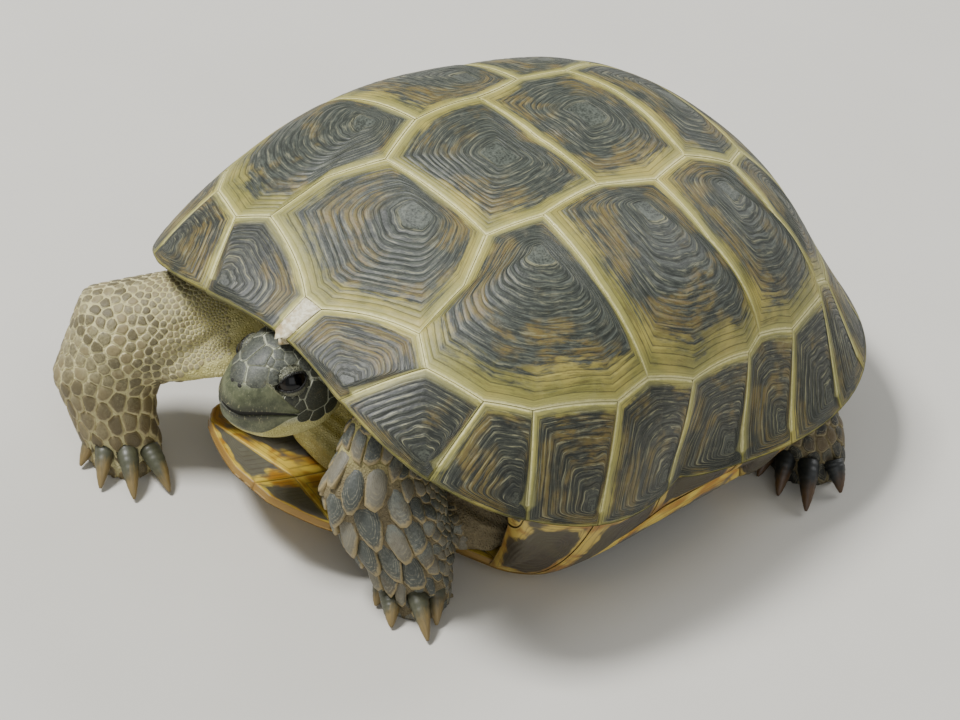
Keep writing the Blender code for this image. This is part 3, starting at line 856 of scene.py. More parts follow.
@dataclass(frozen=True)
class Dome(Surface):
    """The carapace's outer surface; its chart runs u across to the left and v to the tail."""

    length: float = 180.0
    rear: float = 83.0
    half_width: float = 69.2
    height: float = 55.2
    base: float = 32.8
    plan_power: float = 2.84
    profile_power: float = 2.35
    widening: float = 0.067
    pitch: float = math.radians(8.0)
    pivot_y: float = 60.0
    lift: float = 0.65
    high_swell: tuple[float, ...] = (0.0, -0.072, -0.031, -0.021)
    shoulder_swell: tuple[float, ...] = (0.016, 0.011, 0.028)
    edge_swell: float = -0.039
    flare_from: float = 0.60
    front_flare: float = 8.9
    front_span: tuple[float, float] = (-0.35, 0.5)
    rear_flare_from: float = 0.74
    rear_flare: float = 19.0
    rear_power: float = 0.77
    side_tuck: float = -1.9
    rim: tuple[float, ...] = (1.012, -0.043, -0.079, -0.021)

    def reach(self, polar: Array, angle: Array) -> Array:
        """Find how far the surface lies from its middle.

        Args:
            polar: angles from the crown.
            angle: angles round from the nose.

        Returns:
            The distances.
        """
        across = np.sin(polar) * np.sin(angle)
        along = -np.sin(polar) * np.cos(angle)
        half_length = np.where(along > 0, self.rear, self.length - self.rear)
        plan = np.abs(across / self.half_width) ** self.plan_power
        plan = plan + np.abs(along / half_length) ** self.plan_power
        upward = np.abs(np.cos(polar) / self.height) ** self.profile_power
        fold = np.minimum(polar, math.pi / 2)
        swell = np.sin(2 * fold) * series(self.high_swell, angle)
        swell = swell + np.sin(4 * fold) * series(self.shoulder_swell, angle)
        swell = swell + self.edge_swell * np.sin(fold) ** 2 * np.cos(3 * angle)
        total = plan ** (self.profile_power / self.plan_power) + upward
        return total ** (-1 / self.profile_power) * (1 + swell)

    def bare(self, chart: Array) -> Array:
        """Points of the surface before it is pitched."""
        share, angle = np.hypot(chart[..., 0], chart[..., 1]), np.arctan2(chart[..., 0], -chart[..., 1])
        polar = share * math.pi / 2
        reach = self.reach(polar, angle)
        y = -reach * np.sin(polar) * np.cos(angle)
        x = reach * np.sin(polar) * np.sin(angle) * (1 + self.widening * y / (self.length / 2))
        edge = (np.maximum(share - self.flare_from, 0) / (1 - self.flare_from)) ** 2
        rear_edge = (np.maximum(share - self.rear_flare_from, 0) / (1 - self.rear_flare_from)) ** 2
        flare = self.front_flare * eased(np.cos(angle), *self.front_span) * edge
        flare = flare + self.rear_flare * np.maximum(-np.cos(angle), 0) ** self.rear_power * rear_edge
        flare = flare + self.side_tuck * np.sin(angle) ** 2 * edge
        z = self.base + reach * np.cos(polar)
        return np.stack([x + flare * np.sin(angle), y - flare * np.cos(angle), z], -1)

    def placed(self, points: Array) -> Array:
        """The points pitched nose up, in the model's frame."""
        x, y, z = points[..., 0], points[..., 1] - self.pivot_y, points[..., 2]
        cos, sin = math.cos(self.pitch), math.sin(self.pitch)
        return np.stack((x, y * cos + z * sin + self.pivot_y, z * cos - y * sin + self.lift), -1) + PLACE

    def rim_point(self, degrees: float) -> Chart:
        """Find a point on the free edge.

        Args:
            degrees: its angle round from the nose.

        Returns:
            Its place in the chart.
        """
        angle = math.radians(degrees)
        share = float(series(self.rim, angle))
        return (share * math.sin(angle), -share * math.cos(angle))


@dataclass(frozen=True)
class Belly(Surface):
    """The plastron's lower surface; its chart runs across to the left and along to the tail."""

    step: ClassVar[float] = 0.05
    facing: ClassVar[float] = -1.0
    flat: float = 50.0
    edge: float = 70.5
    bridge_rise: float = 25.0
    bottom: float = 2.5
    front_rise: float = 17.5
    front_from: float = 10.0
    front_run: float = 72.0
    rear_rise: float = 4.0
    rear_from: float = 66.0
    rear_run: float = 16.0

    def bare(self, chart: Array) -> Array:
        """Points of the surface before it is placed."""
        x, y = chart[..., 0], chart[..., 1]
        side = np.clip((np.abs(x) - self.flat) / (self.edge - self.flat), 0, 0.999)
        z = self.bottom + self.bridge_rise * (1 - np.sqrt(1 - side**2))
        z = z + self.front_rise * (np.maximum(-y - self.front_from, 0) / self.front_run) ** 1.7
        z = z + self.rear_rise * (np.maximum(y - self.rear_from, 0) / self.rear_run) ** 2
        return np.stack([x, y, z], -1)


DOME = Dome()
BELLY = Belly()


@dataclass(frozen=True)
class Skirt(Surface):
    """The marginals' undersides and the bridge.

    Its chart runs round from the nose, in hundreds of degrees, and down from the rim to the plastron.
    """

    facing: ClassVar[float] = -1.0
    widths: tuple[Chart, ...]
    bridge: Seed = (46.0, 57.0, 117.0, 127.0)
    reach: tuple[float, float] = (-40.0, 42.0)
    rim_share: float = 0.996
    rim_sink: float = 0.9
    foot_sink: float = 0.2
    tuck: float = 9.0
    tuck_rise: float = 0.8
    bulge: float = 0.62
    sag: float = 0.30

    def placed(self, points: Array) -> Array:
        """The points as they are, since both edges are already in place."""
        return points

    def bare(self, chart: Array) -> Array:
        """Points of the surface itself, along a curve from rim to foot."""
        degrees, share = chart[..., 0] * 100, chart[..., 1][..., None]
        angle = np.radians(degrees)
        rim = series(DOME.rim, angle) * self.rim_share
        edge = np.stack([rim * np.sin(angle), -rim * np.cos(angle)], -1)
        top = DOME(edge, np.full(angle.shape, -self.rim_sink))
        y = np.clip(top[..., 1] - PLACE[1], *self.reach)
        along, half = np.array(self.widths).T
        foot = BELLY(np.stack([np.interp(y, along, half), y], -1), np.full(angle.shape, -self.foot_sink))
        inward = unit(top[..., :2] * (-1, -1))
        loose = top + np.concatenate([inward * self.tuck, np.full((*angle.shape, 1), self.tuck_rise)], -1)
        start, full, keep, end = self.bridge
        bound = (eased(degrees, start, full) * (1 - eased(degrees, keep, end)))[..., None]
        foot = loose + (foot - loose) * bound
        bend = foot + (top - foot) * (self.bulge, 0.5, self.sag)
        return top * (1 - share) ** 2 + bend * 2 * share * (1 - share) + foot * share**2


# --- scutes


@dataclass(frozen=True)
class Growth:
    """How a scute has grown: its first shield, the rings round it and how deep they stand."""

    rings: int = 14
    areola: float = 0.20
    rounded: float = 0.30
    softness: float = 0.6
    ridge: float = 0.20
    crown: float = 0.35
    steps: int = 5
    depth: float = 2.6
    sway: float = 0.10
    ring_share: float = 0.86
    groove: float = 0.17
    groove_width: float = 0.5

    def rings_over(self, around: int, rng: Generator) -> tuple[Array, Array, Array]:
        """Work out the growth rings of one shield.

        Args:
            around: how many points go round it.
            rng: the source of its irregularities.

        Returns:
            The rings counted outwards, then each point's share of the way out and its height.
        """
        angle = circle(around)
        widths = rng.uniform(0.55, 1.45, self.rings) * np.linspace(1.25, 0.75, self.rings)
        bounds = np.concatenate([[0], np.cumsum(widths) / widths.sum()])
        counts = np.linspace(0, self.rings, self.rings * self.steps + 1)[:, None]
        sway = sum(ripple(angle, rng, (2, 3, 5, 9)) * np.sin((counts + 1.3) * beat) for beat in (0.7, 1.9))
        window = np.clip(counts, 0, 1) * np.clip(self.rings - counts, 0, 1)
        share = np.interp(counts + self.sway * sway * window, np.arange(self.rings + 1), bounds)
        lift = np.sin(math.pi * np.clip(counts % 1.0 / self.ring_share, 0, 1)) ** 0.7
        vigour = 0.80 + 0.32 * np.stack([ripple(angle, rng, (1, 2, 4, 7)) for _ in range(self.rings + 1)])
        vigour = np.clip(vigour[np.minimum(counts[:, 0].astype(int), self.rings)], 0.15, 1.4)
        height = self.ridge * (lift - 0.6) * vigour * (1 - eased(share, 0.75, 1.0) * 0.55)
        return counts, share, height + self.crown * (1 - share**2)


@dataclass(frozen=True)
class Scute:
    """One horny shield: an outline in a chart with growth rings round its oldest point."""

    name: str
    outline: Sequence[Chart]
    centre: Chart
    growth: Growth
    seed: int
    spacing: float = 0.012
    inset: float = 0.0004
    rolled: float = 0.0  # how far the wall under a free edge swells out into a lip

    def edge_points(self) -> Array:
        """Spread points evenly along the outline, slightly inset, and keep its corners.

        Returns:
            The points.
        """
        corners = np.array(self.outline)
        area = np.sum(corners[:, 0] * np.roll(corners[:, 1], -1) - np.roll(corners[:, 0], -1) * corners[:, 1])
        corners = corners if area > 0 else corners[::-1]
        points = []
        for here, after in zip(corners, np.roll(corners, -1, axis=0)):
            count = max(2, math.ceil(np.linalg.norm(after - here) / self.spacing))
            points += [here + (after - here) * k / count for k in range(count)]
        points = np.array(points)
        tangent = unit(np.roll(points, -1, axis=0) - np.roll(points, 1, axis=0))
        return points + np.stack([-tangent[:, 1], tangent[:, 0]], -1) * self.inset

    def build(self, surface: Surface, side: Side) -> Mesh:
        """Model the scute on a surface, from its underside over its wall to its first shield.

        Args:
            surface: maps chart points and heights to the model's frame.
            side: the side of the animal that it lies on.

        Returns:
            The closed mesh, with its growth stored as attributes.
        """
        grow, rng = self.growth, default_rng(self.seed)
        edge, centre = self.edge_points(), np.array(self.centre)
        around = len(edge)
        core = softened(centre + (edge - centre) * grow.areola, max(4, around // 16))
        counts, share, height = grow.rings_over(around, rng)
        corner = eased(share, grow.rounded, 1.0)[..., None]
        target = softened(edge, int(around * grow.softness))[None] * (1 - corner) + edge[None] * corner
        rings = core[None] + (target - core[None]) * share[..., None]
        under = np.array((0.0, 0.55, 0.94))[:, None]
        wall = np.array((1.0, 0.75, 0.35, 0.0))[:, None] * -grow.depth
        inner = np.linspace(0.8, 0, 5)[:, None]
        inner_height = grow.crown - 0.10 * inner
        inner_height[0] += 0.05
        charts = np.concatenate([
            centre + (edge - centre)[None] * under[..., None], np.repeat(edge[None], len(wall), axis=0),
            rings[::-1], centre + (core - centre)[None] * inner[..., None],
        ])
        heights = np.concatenate([
            np.full((len(under), around), -grow.depth), wall.repeat(around, 1), height[::-1],
            inner_height.repeat(around, 1),
        ])
        below = len(under) + len(wall)
        flat = surface(charts)
        seam = np.linalg.norm(flat - flat[below - 1][None], axis=-1)
        grooved = np.arange(len(charts))[:, None] >= below
        points = surface(charts, heights - grooved * grow.groove * np.exp(-((seam / grow.groove_width) ** 2)))
        outward = unit(points[below - 1] - points[-1].mean(0))
        if self.rolled:
            free = self.free(edge)
            points[below - 3:below - 1] += outward * free[:, None] * self.rolled
            seam = seam + 5.0 * free
        beneath = np.concatenate([under, np.ones((len(wall), 1))]).repeat(around, 1)
        inside = (inner - 1).repeat(around, 1)
        layers = {
            "ring": np.concatenate([beneath * grow.rings, counts[::-1].repeat(around, 1), inside]),
            "grown": np.concatenate([beneath, share[::-1], inside]),
            "seam": seam,
            "low": np.tile(0.5 - 0.5 * outward[:, 2], (len(charts), 1)),
            "shade": np.full(heights.shape, rng.uniform()),
        }
        return wrapped_grid(self.name, points * (side.sign, 1, 1), layers)

    @staticmethod
    def free(edge: Array) -> Array:
        """Which of the outline's points lie on the shell's free edge, from 0 to 1."""
        angle = np.arctan2(edge[:, 0], -edge[:, 1])
        return eased(np.hypot(edge[:, 0], edge[:, 1]) / series(DOME.rim, angle), 0.975, 0.992)


@dataclass(frozen=True)
class ShellPlan:
    """Every corner of the carapace's shields in the chart, and where their first shields lie."""

    nuchal_top: Chart = (0.034, -0.800)
    v1_front: Chart = (0.309, -0.682)
    v1_waist: Chart = (0.298, -0.554)
    v1_v2: Chart = (0.220, -0.434)
    v2_side: Chart = (0.271, -0.274)
    v2_v3: Chart = (0.257, -0.052)
    v3_side: Chart = (0.290, 0.152)
    v3_v4: Chart = (0.233, 0.295)
    v4_side: Chart = (0.260, 0.428)
    v4_v5: Chart = (0.200, 0.520)
    c1_c2: tuple[Chart, Chart] = ((0.504, -0.262), (0.738, -0.225))
    c2_c3: tuple[Chart, Chart] = ((0.494, 0.180), (0.730, 0.292))
    c3_c4: tuple[Chart, Chart] = ((0.408, 0.480), (0.530, 0.618))
    costal_rims: tuple[float, float, float] = (71.0, 107.0, 130.5)
    tops: tuple[Chart, ...] = (
        (0.383, -0.698), (0.531, -0.627), (0.622, -0.542), (0.738, -0.334), (0.806, -0.046),
        (0.776, 0.238), (0.692, 0.456), (0.562, 0.620), (0.490, 0.690), (0.360, 0.765), (0.175, 0.835),
    )
    nuchal_rim: float = 1.6
    v1_rim: float = 13.7
    marginal_rims: tuple[float, ...] = (
        17.6, 35.4, 51.0, 64.2, 83.8, 103.8, 115.2, 128.6, 140.0, 151.6, 168.0,
    )
    areolae: tuple[Chart, ...] = ((0.0, -0.51), (0.0, -0.206), (0.0, 0.152), (0.0, 0.476), (0.0, 0.66))
    costal_areolae: tuple[Chart, ...] = ((0.352, -0.348), (0.364, 0.040), (0.338, 0.350), (0.330, 0.560))

    @staticmethod
    def mirrored(corners: Sequence[Chart]) -> list[Chart]:
        """The same corners on the other side, in the same turning sense."""
        return [(-u, v) for u, v in reversed(corners)]

    @staticmethod
    def rim_run(first: float, last: float, steps: int) -> list[Chart]:
        """Points along the free edge between two angles."""
        return [DOME.rim_point(first + (last - first) * k / steps) for k in range(steps + 1)]

    def vertebrals(self) -> list[list[Chart]]:
        """Outline the five scutes along the back.

        Returns:
            The corners of each.
        """
        return [half + self.mirrored(half) for half in (
            [self.nuchal_top, self.v1_front, self.v1_waist, self.v1_v2],
            [self.v1_v2, self.v2_side, self.v2_v3],
            [self.v2_v3, self.v3_side, self.v3_v4],
            [self.v3_v4, self.v4_side, self.v4_v5],
            [self.v4_v5, self.tops[9], self.tops[10]],
        )]

    def costals(self) -> list[list[Chart]]:
        """Outline the four scutes of the left side.

        Returns:
            The corners of each.
        """
        tops, (low_1, rim_1), (low_2, rim_2), (low_3, rim_3) = self.tops, self.c1_c2, self.c2_c3, self.c3_c4
        return [
            [self.v1_v2, self.v1_waist, self.v1_front, *tops[0:4], rim_1, low_1, self.v2_side],
            [self.v2_v3, self.v2_side, low_1, rim_1, *tops[4:6], rim_2, low_2, self.v3_side],
            [self.v3_v4, self.v3_side, low_2, rim_2, *tops[6:8], rim_3, low_3, self.v4_side],
            [self.v4_v5, self.v4_side, low_3, rim_3, *tops[8:10]],
        ]

    def marginals(self) -> list[list[Chart]]:
        """Outline the eleven scutes of the left rim.

        Returns:
            The corners of each, along its upper seam and back by the free edge.
        """
        feet = zip((seam[1] for seam in (self.c1_c2, self.c2_c3, self.c3_c4)), self.costal_rims)
        upper = [(self.nuchal_top, self.nuchal_rim), (self.v1_front, self.v1_rim)]
        upper = sorted([*upper, *zip(self.tops, self.marginal_rims), *feet], key=lambda item: item[1])
        seams = [self.nuchal_rim, *self.marginal_rims]
        outlines = []
        for first, last in zip(seams, seams[1:]):
            top = [corner for corner, angle in upper if first <= angle <= last]
            outlines.append(top + self.rim_run(last, first, max(3, math.ceil((last - first) / 3.0))))
        return outlines

    def nuchal(self) -> list[Chart]:
        """The outline of the narrow first scute."""
        half = [DOME.rim_point(self.nuchal_rim), self.nuchal_top]
        return [half[1], *self.mirrored(half), half[0]]

    def supracaudal(self) -> list[Chart]:
        """The outline of the last scute, over the tail."""
        top, run = self.tops[10], self.rim_run(self.marginal_rims[-1], 180.0, 4)
        return [*self.mirrored([top]), top, *run, *self.mirrored(run[:-1])]


@dataclass
class Carapace(Assembly):
    """The upper shell: nuchal, vertebrals, costals, marginals and the supracaudal."""

    plan: ShellPlan = ShellPlan()
    shield: ShieldFinish = ShieldFinish("shield_horn")
    rim: ShieldFinish = ShieldFinish(
        "rim_horn", dark=(0.011, 0.013, 0.009), slate=(0.060, 0.066, 0.048), edge_from=0.88, edge_to=0.98,
        crest_highlight_share=0.62,
    )
    nuchal: NuchalFinish = NuchalFinish()
    vertebral_rings: tuple[int, ...] = (15, 14, 14, 12, 11)
    costal_rings: tuple[int, ...] = (18, 18, 16, 12)
    rim_growth: Growth = Growth(rings=12, areola=0.12, softness=0.12, ridge=0.17, crown=0.25)
    nuchal_growth: Growth = Growth(rings=5, areola=0.3, softness=0.1, ridge=0.05, crown=0.45)

    def lay(self, scute: Scute, material: Material, node: str, side: Side = Side.LEFT) -> None:
        """Model one scute on the dome, in the place of a node."""
        self.add(scute.name, scute.build(DOME, side), material, Slot.SCUTE, node)

    def build(self) -> list[Object]:
        """Model the whole upper shell and return its pieces."""
        plan, shield, rim = self.plan, self.shield.build(), self.rim.build()
        for number, outline in enumerate(plan.vertebrals(), start=1):
            growth = Growth(self.vertebral_rings[number - 1])
            scute = Scute(f"vertebral_shield_{number}", outline, plan.areolae[number - 1], growth, number)
            self.lay(scute, shield, f"vertebral_{number}")
        for number, outline in enumerate(plan.costals(), start=1):
            growth = Growth(self.costal_rings[number - 1], areola=0.13)
            for seed, side in zip((20, 30), Side):
                name = f"costal_shield_{side.value}_{number}"
                scute = Scute(name, outline, plan.costal_areolae[number - 1], growth, seed + number)
                self.lay(scute, shield, f"costal_{side.value}_{number}", side)
        for number, outline in enumerate(plan.marginals(), start=1):
            low = np.array(DOME.rim_point(plan.marginal_rims[number - 1]))
            centre = low * 0.68 + np.array(plan.tops[number - 1]) * 0.08 + np.array(outline).mean(0) * 0.24
            for seed, side in zip((60, 80), Side):
                name = f"marginal_shield_{side.value}_{number:02d}"
                scute = Scute(name, outline, centre, self.rim_growth, seed + number, spacing=0.01, rolled=0.5)
                self.lay(scute, rim, f"marginals_{side.value}", side)
        outline, centre = plan.nuchal(), (0.0, -0.88)
        scute = Scute("nuchal_shield", outline, centre, self.nuchal_growth, 5, spacing=0.006, rolled=0.2)
        self.lay(scute, self.nuchal.build(), "nuchal")
        outline, centre = plan.supracaudal(), (0.0, 0.965)
        scute = Scute("supracaudal_shield", outline, centre, self.rim_growth, 9, rolled=0.5)
        self.lay(scute, rim, "supracaudal")
        return self.pieces


@dataclass
class Plastron(Assembly):
    """The lower shell: six pairs of scutes, and the bridges that run down to the middle ones."""

    finish: BellyFinish = BellyFinish()
    # A darker copy of the belly horn: painted shade on the bridges under the shell's rim.
    shaded_bridge_finish: BellyFinish = BellyFinish(
        "shaded_bridge_horn", orange=(0.26, 0.125, 0.016), yellow=(0.46, 0.335, 0.065), dark=(0.008, 0.008, 0.006),
        slate=(0.034, 0.034, 0.026),
    )
    scutes: tuple[str, ...] = ("gular", "humeral", "pectoral", "abdominal", "femoral", "anal")
    midline: tuple[float, ...] = (-82.0, -68.0, -49.0, -34.0, 26.0, 54.0, 76.0)
    sides: tuple[float, ...] = (-82.0, -73.0, -45.0, -39.0, 41.0, 54.0, 84.0)
    widths: tuple[Chart, ...] = (
        (-82.0, 6.0), (-80.0, 11.0), (-76.0, 18.0), (-72.0, 22.5), (-60.0, 28.5), (-50.0, 33.0),
        (-45.0, 39.0), (-39.0, 50.0), (-31.0, 61.0), (-18.0, 68.5), (0.0, 70.0), (30.0, 70.0),
        (36.0, 66.0), (41.0, 55.0), (47.0, 44.0), (58.0, 38.0), (72.0, 29.0), (84.0, 15.0),
    )
    far_lobe: tuple[Chart, ...] = (
        (-82.0, 8.0), (-80.5, 13.0), (-78.5, 18.0), (-76.0, 23.5), (-73.0, 29.0), (-69.0, 33.5),
        (-64.0, 36.0), (-57.0, 36.5), (-50.0, 37.5), (-45.0, 41.0),
    )
    bridge_seams: tuple[float, ...] = (40.0, 51.0, 64.2, 83.8, 103.8, 115.2, 128.6, 140.0)
    growth: Growth = Growth(rings=9, areola=0.15, ridge=0.16, crown=0.05, depth=2.2)
    bridge_growth: Growth = Growth(rings=7, areola=0.15, ridge=0.12, crown=0.05, depth=1.2)

    def half_width(self, y: float, side: Side) -> float:
        """Find half the plastron's width; its front lobe is fuller where no leg stands beside it.

        Args:
            y: how far back.
            side: the side of the animal.

        Returns:
            The half width.
        """
        widths = self.widths
        if side is Side.RIGHT:
            widths = (*self.far_lobe, *(item for item in widths if item[0] > self.far_lobe[-1][0]))
        return float(np.interp(y, *np.array(widths).T))

    def outline(self, row: int, side: Side) -> list[Chart]:
        """Outline one scute.

        Args:
            row: its place from the front.
            side: the side of the animal.

        Returns:
            Its corners, from the midline along its outer edge and back.
        """
        first, last = self.sides[row], self.sides[row + 1]
        steps = max(3, round((last - first) / 2.5))
        outer = [(self.half_width(y, side), float(y)) for y in np.linspace(first, last, steps + 1)]
        return [(0.0, self.midline[row]), *outer, (0.0, self.midline[row + 1])]

    def bridges(self, material: Material) -> None:
        """Model the marginals' undersides, which run down into the plastron between the legs.

        Args:
            material: what they wear.
        """
        skirt = Skirt(self.widths)
        for number, (first, last) in enumerate(zip(self.bridge_seams, self.bridge_seams[1:]), start=3):
            start, end = first / 100, last / 100
            outline = ((start, 0.0), (end, 0.0), (end, 1.0), (start, 1.0))
            centre = (start * 0.35 + end * 0.65, 0.30)
            for seed, side in zip((140, 160), Side):
                name = f"bridge_shield_{side.value}_{number:02d}"
                scute = Scute(name, outline, centre, self.bridge_growth, seed + number, 0.025, 0.0006)
                self.add(name, scute.build(skirt, side), material, Slot.BELLY, f"marginals_{side.value}")

    def build(self) -> list[Object]:
        """Model the whole lower shell and return its pieces."""
        material = self.finish.build()
        for row, scute_name in enumerate(self.scutes):
            outward = 0.55 if scute_name == "abdominal" else 0.25
            for seed, side in zip((100, 110), Side):
                corners = self.outline(row, side)
                x, y = np.array(corners).mean(0)
                x = x * (1 - outward) + corners[-2][0] * outward
                centre = (x, y * 0.6 + self.midline[row + 1] * 0.4)
                name = f"{scute_name}_shield_{side.value}"
                scute = Scute(name, corners, centre, self.growth, seed + row, 1.1, 0.03)
                self.add(name, scute.build(BELLY, side), material, Slot.BELLY, f"{scute_name}_{side.value}")
        self.bridges(self.shaded_bridge_finish.build())
        return self.pieces


# --- hide


@dataclass(frozen=True)
class Limb:
    """A leg as its centre line from the shoulder to the sole, or the tail from its root."""

    name: str
    run: tuple[Spot, ...]

    @property
    def nodes(self) -> tuple[str, ...]:
        """The leg's and the foot's nodes, or the tail's one."""
        return ("tail",) if self.name == "tail" else (f"{self.name}leg", f"{self.name}foot")

    def along(self, points: Array) -> tuple[Array, Array]:
        """Measure points against the centre line.

        Args:
            points: the points.

        Returns:
            How far down the limb each lies, from 0 to 1, and the limb's direction there.
        """
        run = np.array(self.run) + PLACE
        lengths = np.linalg.norm(np.diff(run, axis=0), axis=1)
        starts = np.concatenate([[0], np.cumsum(lengths)])
        best = np.full(len(points), np.inf)
        share, heading = np.zeros(len(points)), np.zeros((len(points), 3))
        for k, (here, after) in enumerate(zip(run, run[1:])):
            step = after - here
            part = np.clip((points - here) @ step / (step @ step), 0, 1)
            gap = np.linalg.norm(points - here - part[:, None] * step, axis=1)
            closer = gap < best
            best = np.where(closer, gap, best)
            share = np.where(closer, (starts[k] + part * lengths[k]) / starts[-1], share)
            heading[closer] = step / lengths[k]
        return share, heading


LEFT_FORE = Limb("left_fore", (
    (22, -34, 42), (22.5, -48, 44.5), (24, -59, 42), (28.5, -64.5, 33.5), (35, -63, 24), (39, -60.5, 15),
    (41, -59.5, 8), (41.5, -59.5, 0),
))
RIGHT_FORE = Limb("right_fore", (
    (-25, -36, 41), (-33, -54, 43), (-46, -70, 40), (-56, -82, 34), (-56, -87, 22), (-50, -87, 11),
    (-46.5, -86, 0),
))
LEFT_HIND = Limb("left_hind", ((31, 46, 24), (44, 58, 21), (56, 65, 15), (63, 66, 8), (65, 66, 0)))
RIGHT_HIND = Limb("right_hind", ((-31, 52, 24), (-44, 64, 21), (-56, 71, 15), (-63, 72, 8), (-65, 72, 0)))
LIMBS = (LEFT_FORE, RIGHT_FORE, LEFT_HIND, RIGHT_HIND)
TAIL = Limb("tail", ((0, 66, 20), (2, 78, 17), (5, 86, 13), (9, 92, 9), (12, 97, 6.5)))


@dataclass(frozen=True)
class Socket:
    """Where an eye lies: its centre, and the directions along its lids, across them and outwards."""

    centre: Array
    along: Array
    across: Array
    out: Array


@dataclass
class Hide(Assembly):
    """The one skin over all the flesh, a little inside the true outline to leave room for scales."""

    finish: SkinFinish = SkinFinish()
    fatten: float = 0.55
    voxel: float = 1.15
    sink: float = 0.45
    sole: float = 0.05
    fold_run: tuple[Seed, ...] = (
        (-14, -52, 42, 5.0), (-21, -62, 41.5, 5.2), (-28, -71, 38.5, 5.0), (-35, -78, 34.5, 4.2),
        (-41, -83, 31, 2.5),
    )
    pads: tuple[tuple[Spot, Spot], ...] = (
        ((0, -36, 20), (34, 24, 10)), ((0, 46, 13), (35, 26, 9.5)), ((0, 4, 16), (52, 48, 12)),
        ((36, -32, 17), (16, 19, 11.5)), ((-36, -32, 17), (16, 19, 11.5)),
    )
    tree: BVHTree | None = field(default=None, init=False)

    @property
    def skin(self) -> Mesh:
        """The skin's mesh."""
        return self.pieces[0].data

    def flesh(self) -> Object:
        """Merge and fatten copies of the flesh nodes, with the loose fold and the pads.

        Returns:
            One object, to be remeshed.
        """
        mesh = bpy.data.meshes.new("flesh")
        with modelled(mesh) as bm:
            for node in self.nodes:
                bm.from_mesh(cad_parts[node].data)
            bmesh.ops.remove_doubles(bm, verts=bm.verts, dist=0.001 * MM)
            bm.normal_update()
            for vert in bm.verts:
                vert.co += vert.normal * self.fatten * MM
            for first, last in zip(self.fold_run, self.fold_run[1:]):
                for share in (0.0, 0.25, 0.5, 0.75):
                    *spot, radius = np.array(first) * (1 - share) + np.array(last) * share
                    add_ball(bm, spot + PLACE, (radius,) * 3, 2)
            for spot, half in self.pads:
                add_ball(bm, spot + PLACE, half, 4)
        return bpy.data.objects.new("flesh", mesh)

    @property
    def nodes(self) -> list[str]:
        """The nodes of flesh that the skin stands for."""
        return ["trunk", "neck", "head", "tail", *(node for limb in LIMBS for node in limb.nodes)]

    def build(self) -> list[Object]:
        """Model the skin and return it."""
        flesh = self.flesh()
        bpy.context.scene.collection.objects.link(flesh)
        remesh = flesh.modifiers.new("remesh", "REMESH")
        remesh.mode, remesh.voxel_size = "VOXEL", self.voxel * MM
        mesh = bpy.data.meshes.new_from_object(flesh.evaluated_get(bpy.context.evaluated_depsgraph_get()))
        bpy.data.objects.remove(flesh)
        mesh.name = "skin"
        self.relax(mesh, 5)
        set_points(mesh, points_of(mesh) - normals_of(mesh) * (self.fatten + self.sink))
        self.relax(mesh, 1)
        points = points_of(mesh)
        points += normals_of(mesh) * self.wrinkles(points)[:, None]
        under = (points[:, 2] < 1.6) & (normals_of(mesh)[:, 2] < -0.3)
        points[:, 2] = np.where(under, self.sole, np.maximum(points[:, 2], self.sole))
        set_points(mesh, points)
        self.add("skin", mesh, self.finish.build(), Slot.SKIN, *self.nodes)
        set_layers(mesh, self.marks(points_of(mesh)))
        self.tree = BVHTree.FromObject(self.pieces[0], bpy.context.evaluated_depsgraph_get())
        return self.pieces

    @staticmethod
    def relax(mesh: Mesh, rounds: int) -> None:
        """Smooth a surface.

        Args:
            mesh: the surface.
            rounds: how often.
        """
        with modelled(mesh) as bm:
            for _ in range(rounds):
                bmesh.ops.smooth_vert(
                    bm, verts=bm.verts, factor=0.5, use_axis_x=True, use_axis_y=True, use_axis_z=True,
                )

    @staticmethod
    def wrinkles(points: Array) -> Array:
        """Fold the neck, the limbs' soft upper parts and the hollows behind the forelegs.

        Args:
            points: places on the skin.

        Returns:
            How far each rises, in millimetres.
        """
        x, y, z = points.T
        wide = np.abs(x)
        neck = (np.abs(x + 1) < 15) & (y > -64) & (y < -45)
        shoulder = eased(-x, 14, 22) * eased(44 + x, 0, 10) * eased(-y, 48, 58) * eased(86 + y, 0, 10)
        inside = eased(-y, 20, 40) * eased(74 + y, 0, 14) * eased(40 - z, 0, 10) * eased(z, 6, 14)
        pit = eased(wide, 26, 33) * eased(54 - wide, 0, 3) * eased(-y, 4, 12) * eased(54 + y, 0, 5)
        return (
            0.45 * neck * np.sin(y * 1.9 + 0.25 * z)
            + 0.45 * shoulder * np.sin(1.5 * (0.8 * z - 0.5 * y) + 0.9 * np.sin(0.5 * x))
            + 0.55 * inside * np.sin(0.9 * z + 1.4 * np.sin(0.16 * x) + 0.8 * np.sin(0.23 * y))
            + 0.45 * pit * eased(34 - z, 0, 5) * np.sin(1.7 * z + 0.9 * y + 0.8 * np.sin(0.3 * x))
        )

    @staticmethod
    def marks(points: Array) -> dict[str, Array]:
        """Tell where the skin is under scales, in the shade or on the head's crown.

        Args:
            points: places on the skin.

        Returns:
            Shares from 0 to 1, under the attributes' names.
        """
        x, y, z = points.T
        # Painted shade: the hollow behind the near foreleg is marked as scaled and shaded, so it takes the
        # dark net.
        hollow = eased(x, 22, 30) * eased(-y, -4, 6) * eased(36 - z, 0, 8)
        scaled, shaded = hollow, hollow
        for limb in LIMBS:
            near = is_near(points, limb.nodes, 2.2)
            scaled = np.maximum(scaled, near * eased(limb.along(points)[0], 0.30, 0.52))
            if limb is not RIGHT_FORE:
                shaded = np.maximum(shaded, near)
        crown = is_near(points, ["head"], 2.5) * eased(z, 46.0, 50.5) * eased(-y, 68.5, 71.5)
        return {"crown": crown, "scaled": scaled, "shaded": shaded}

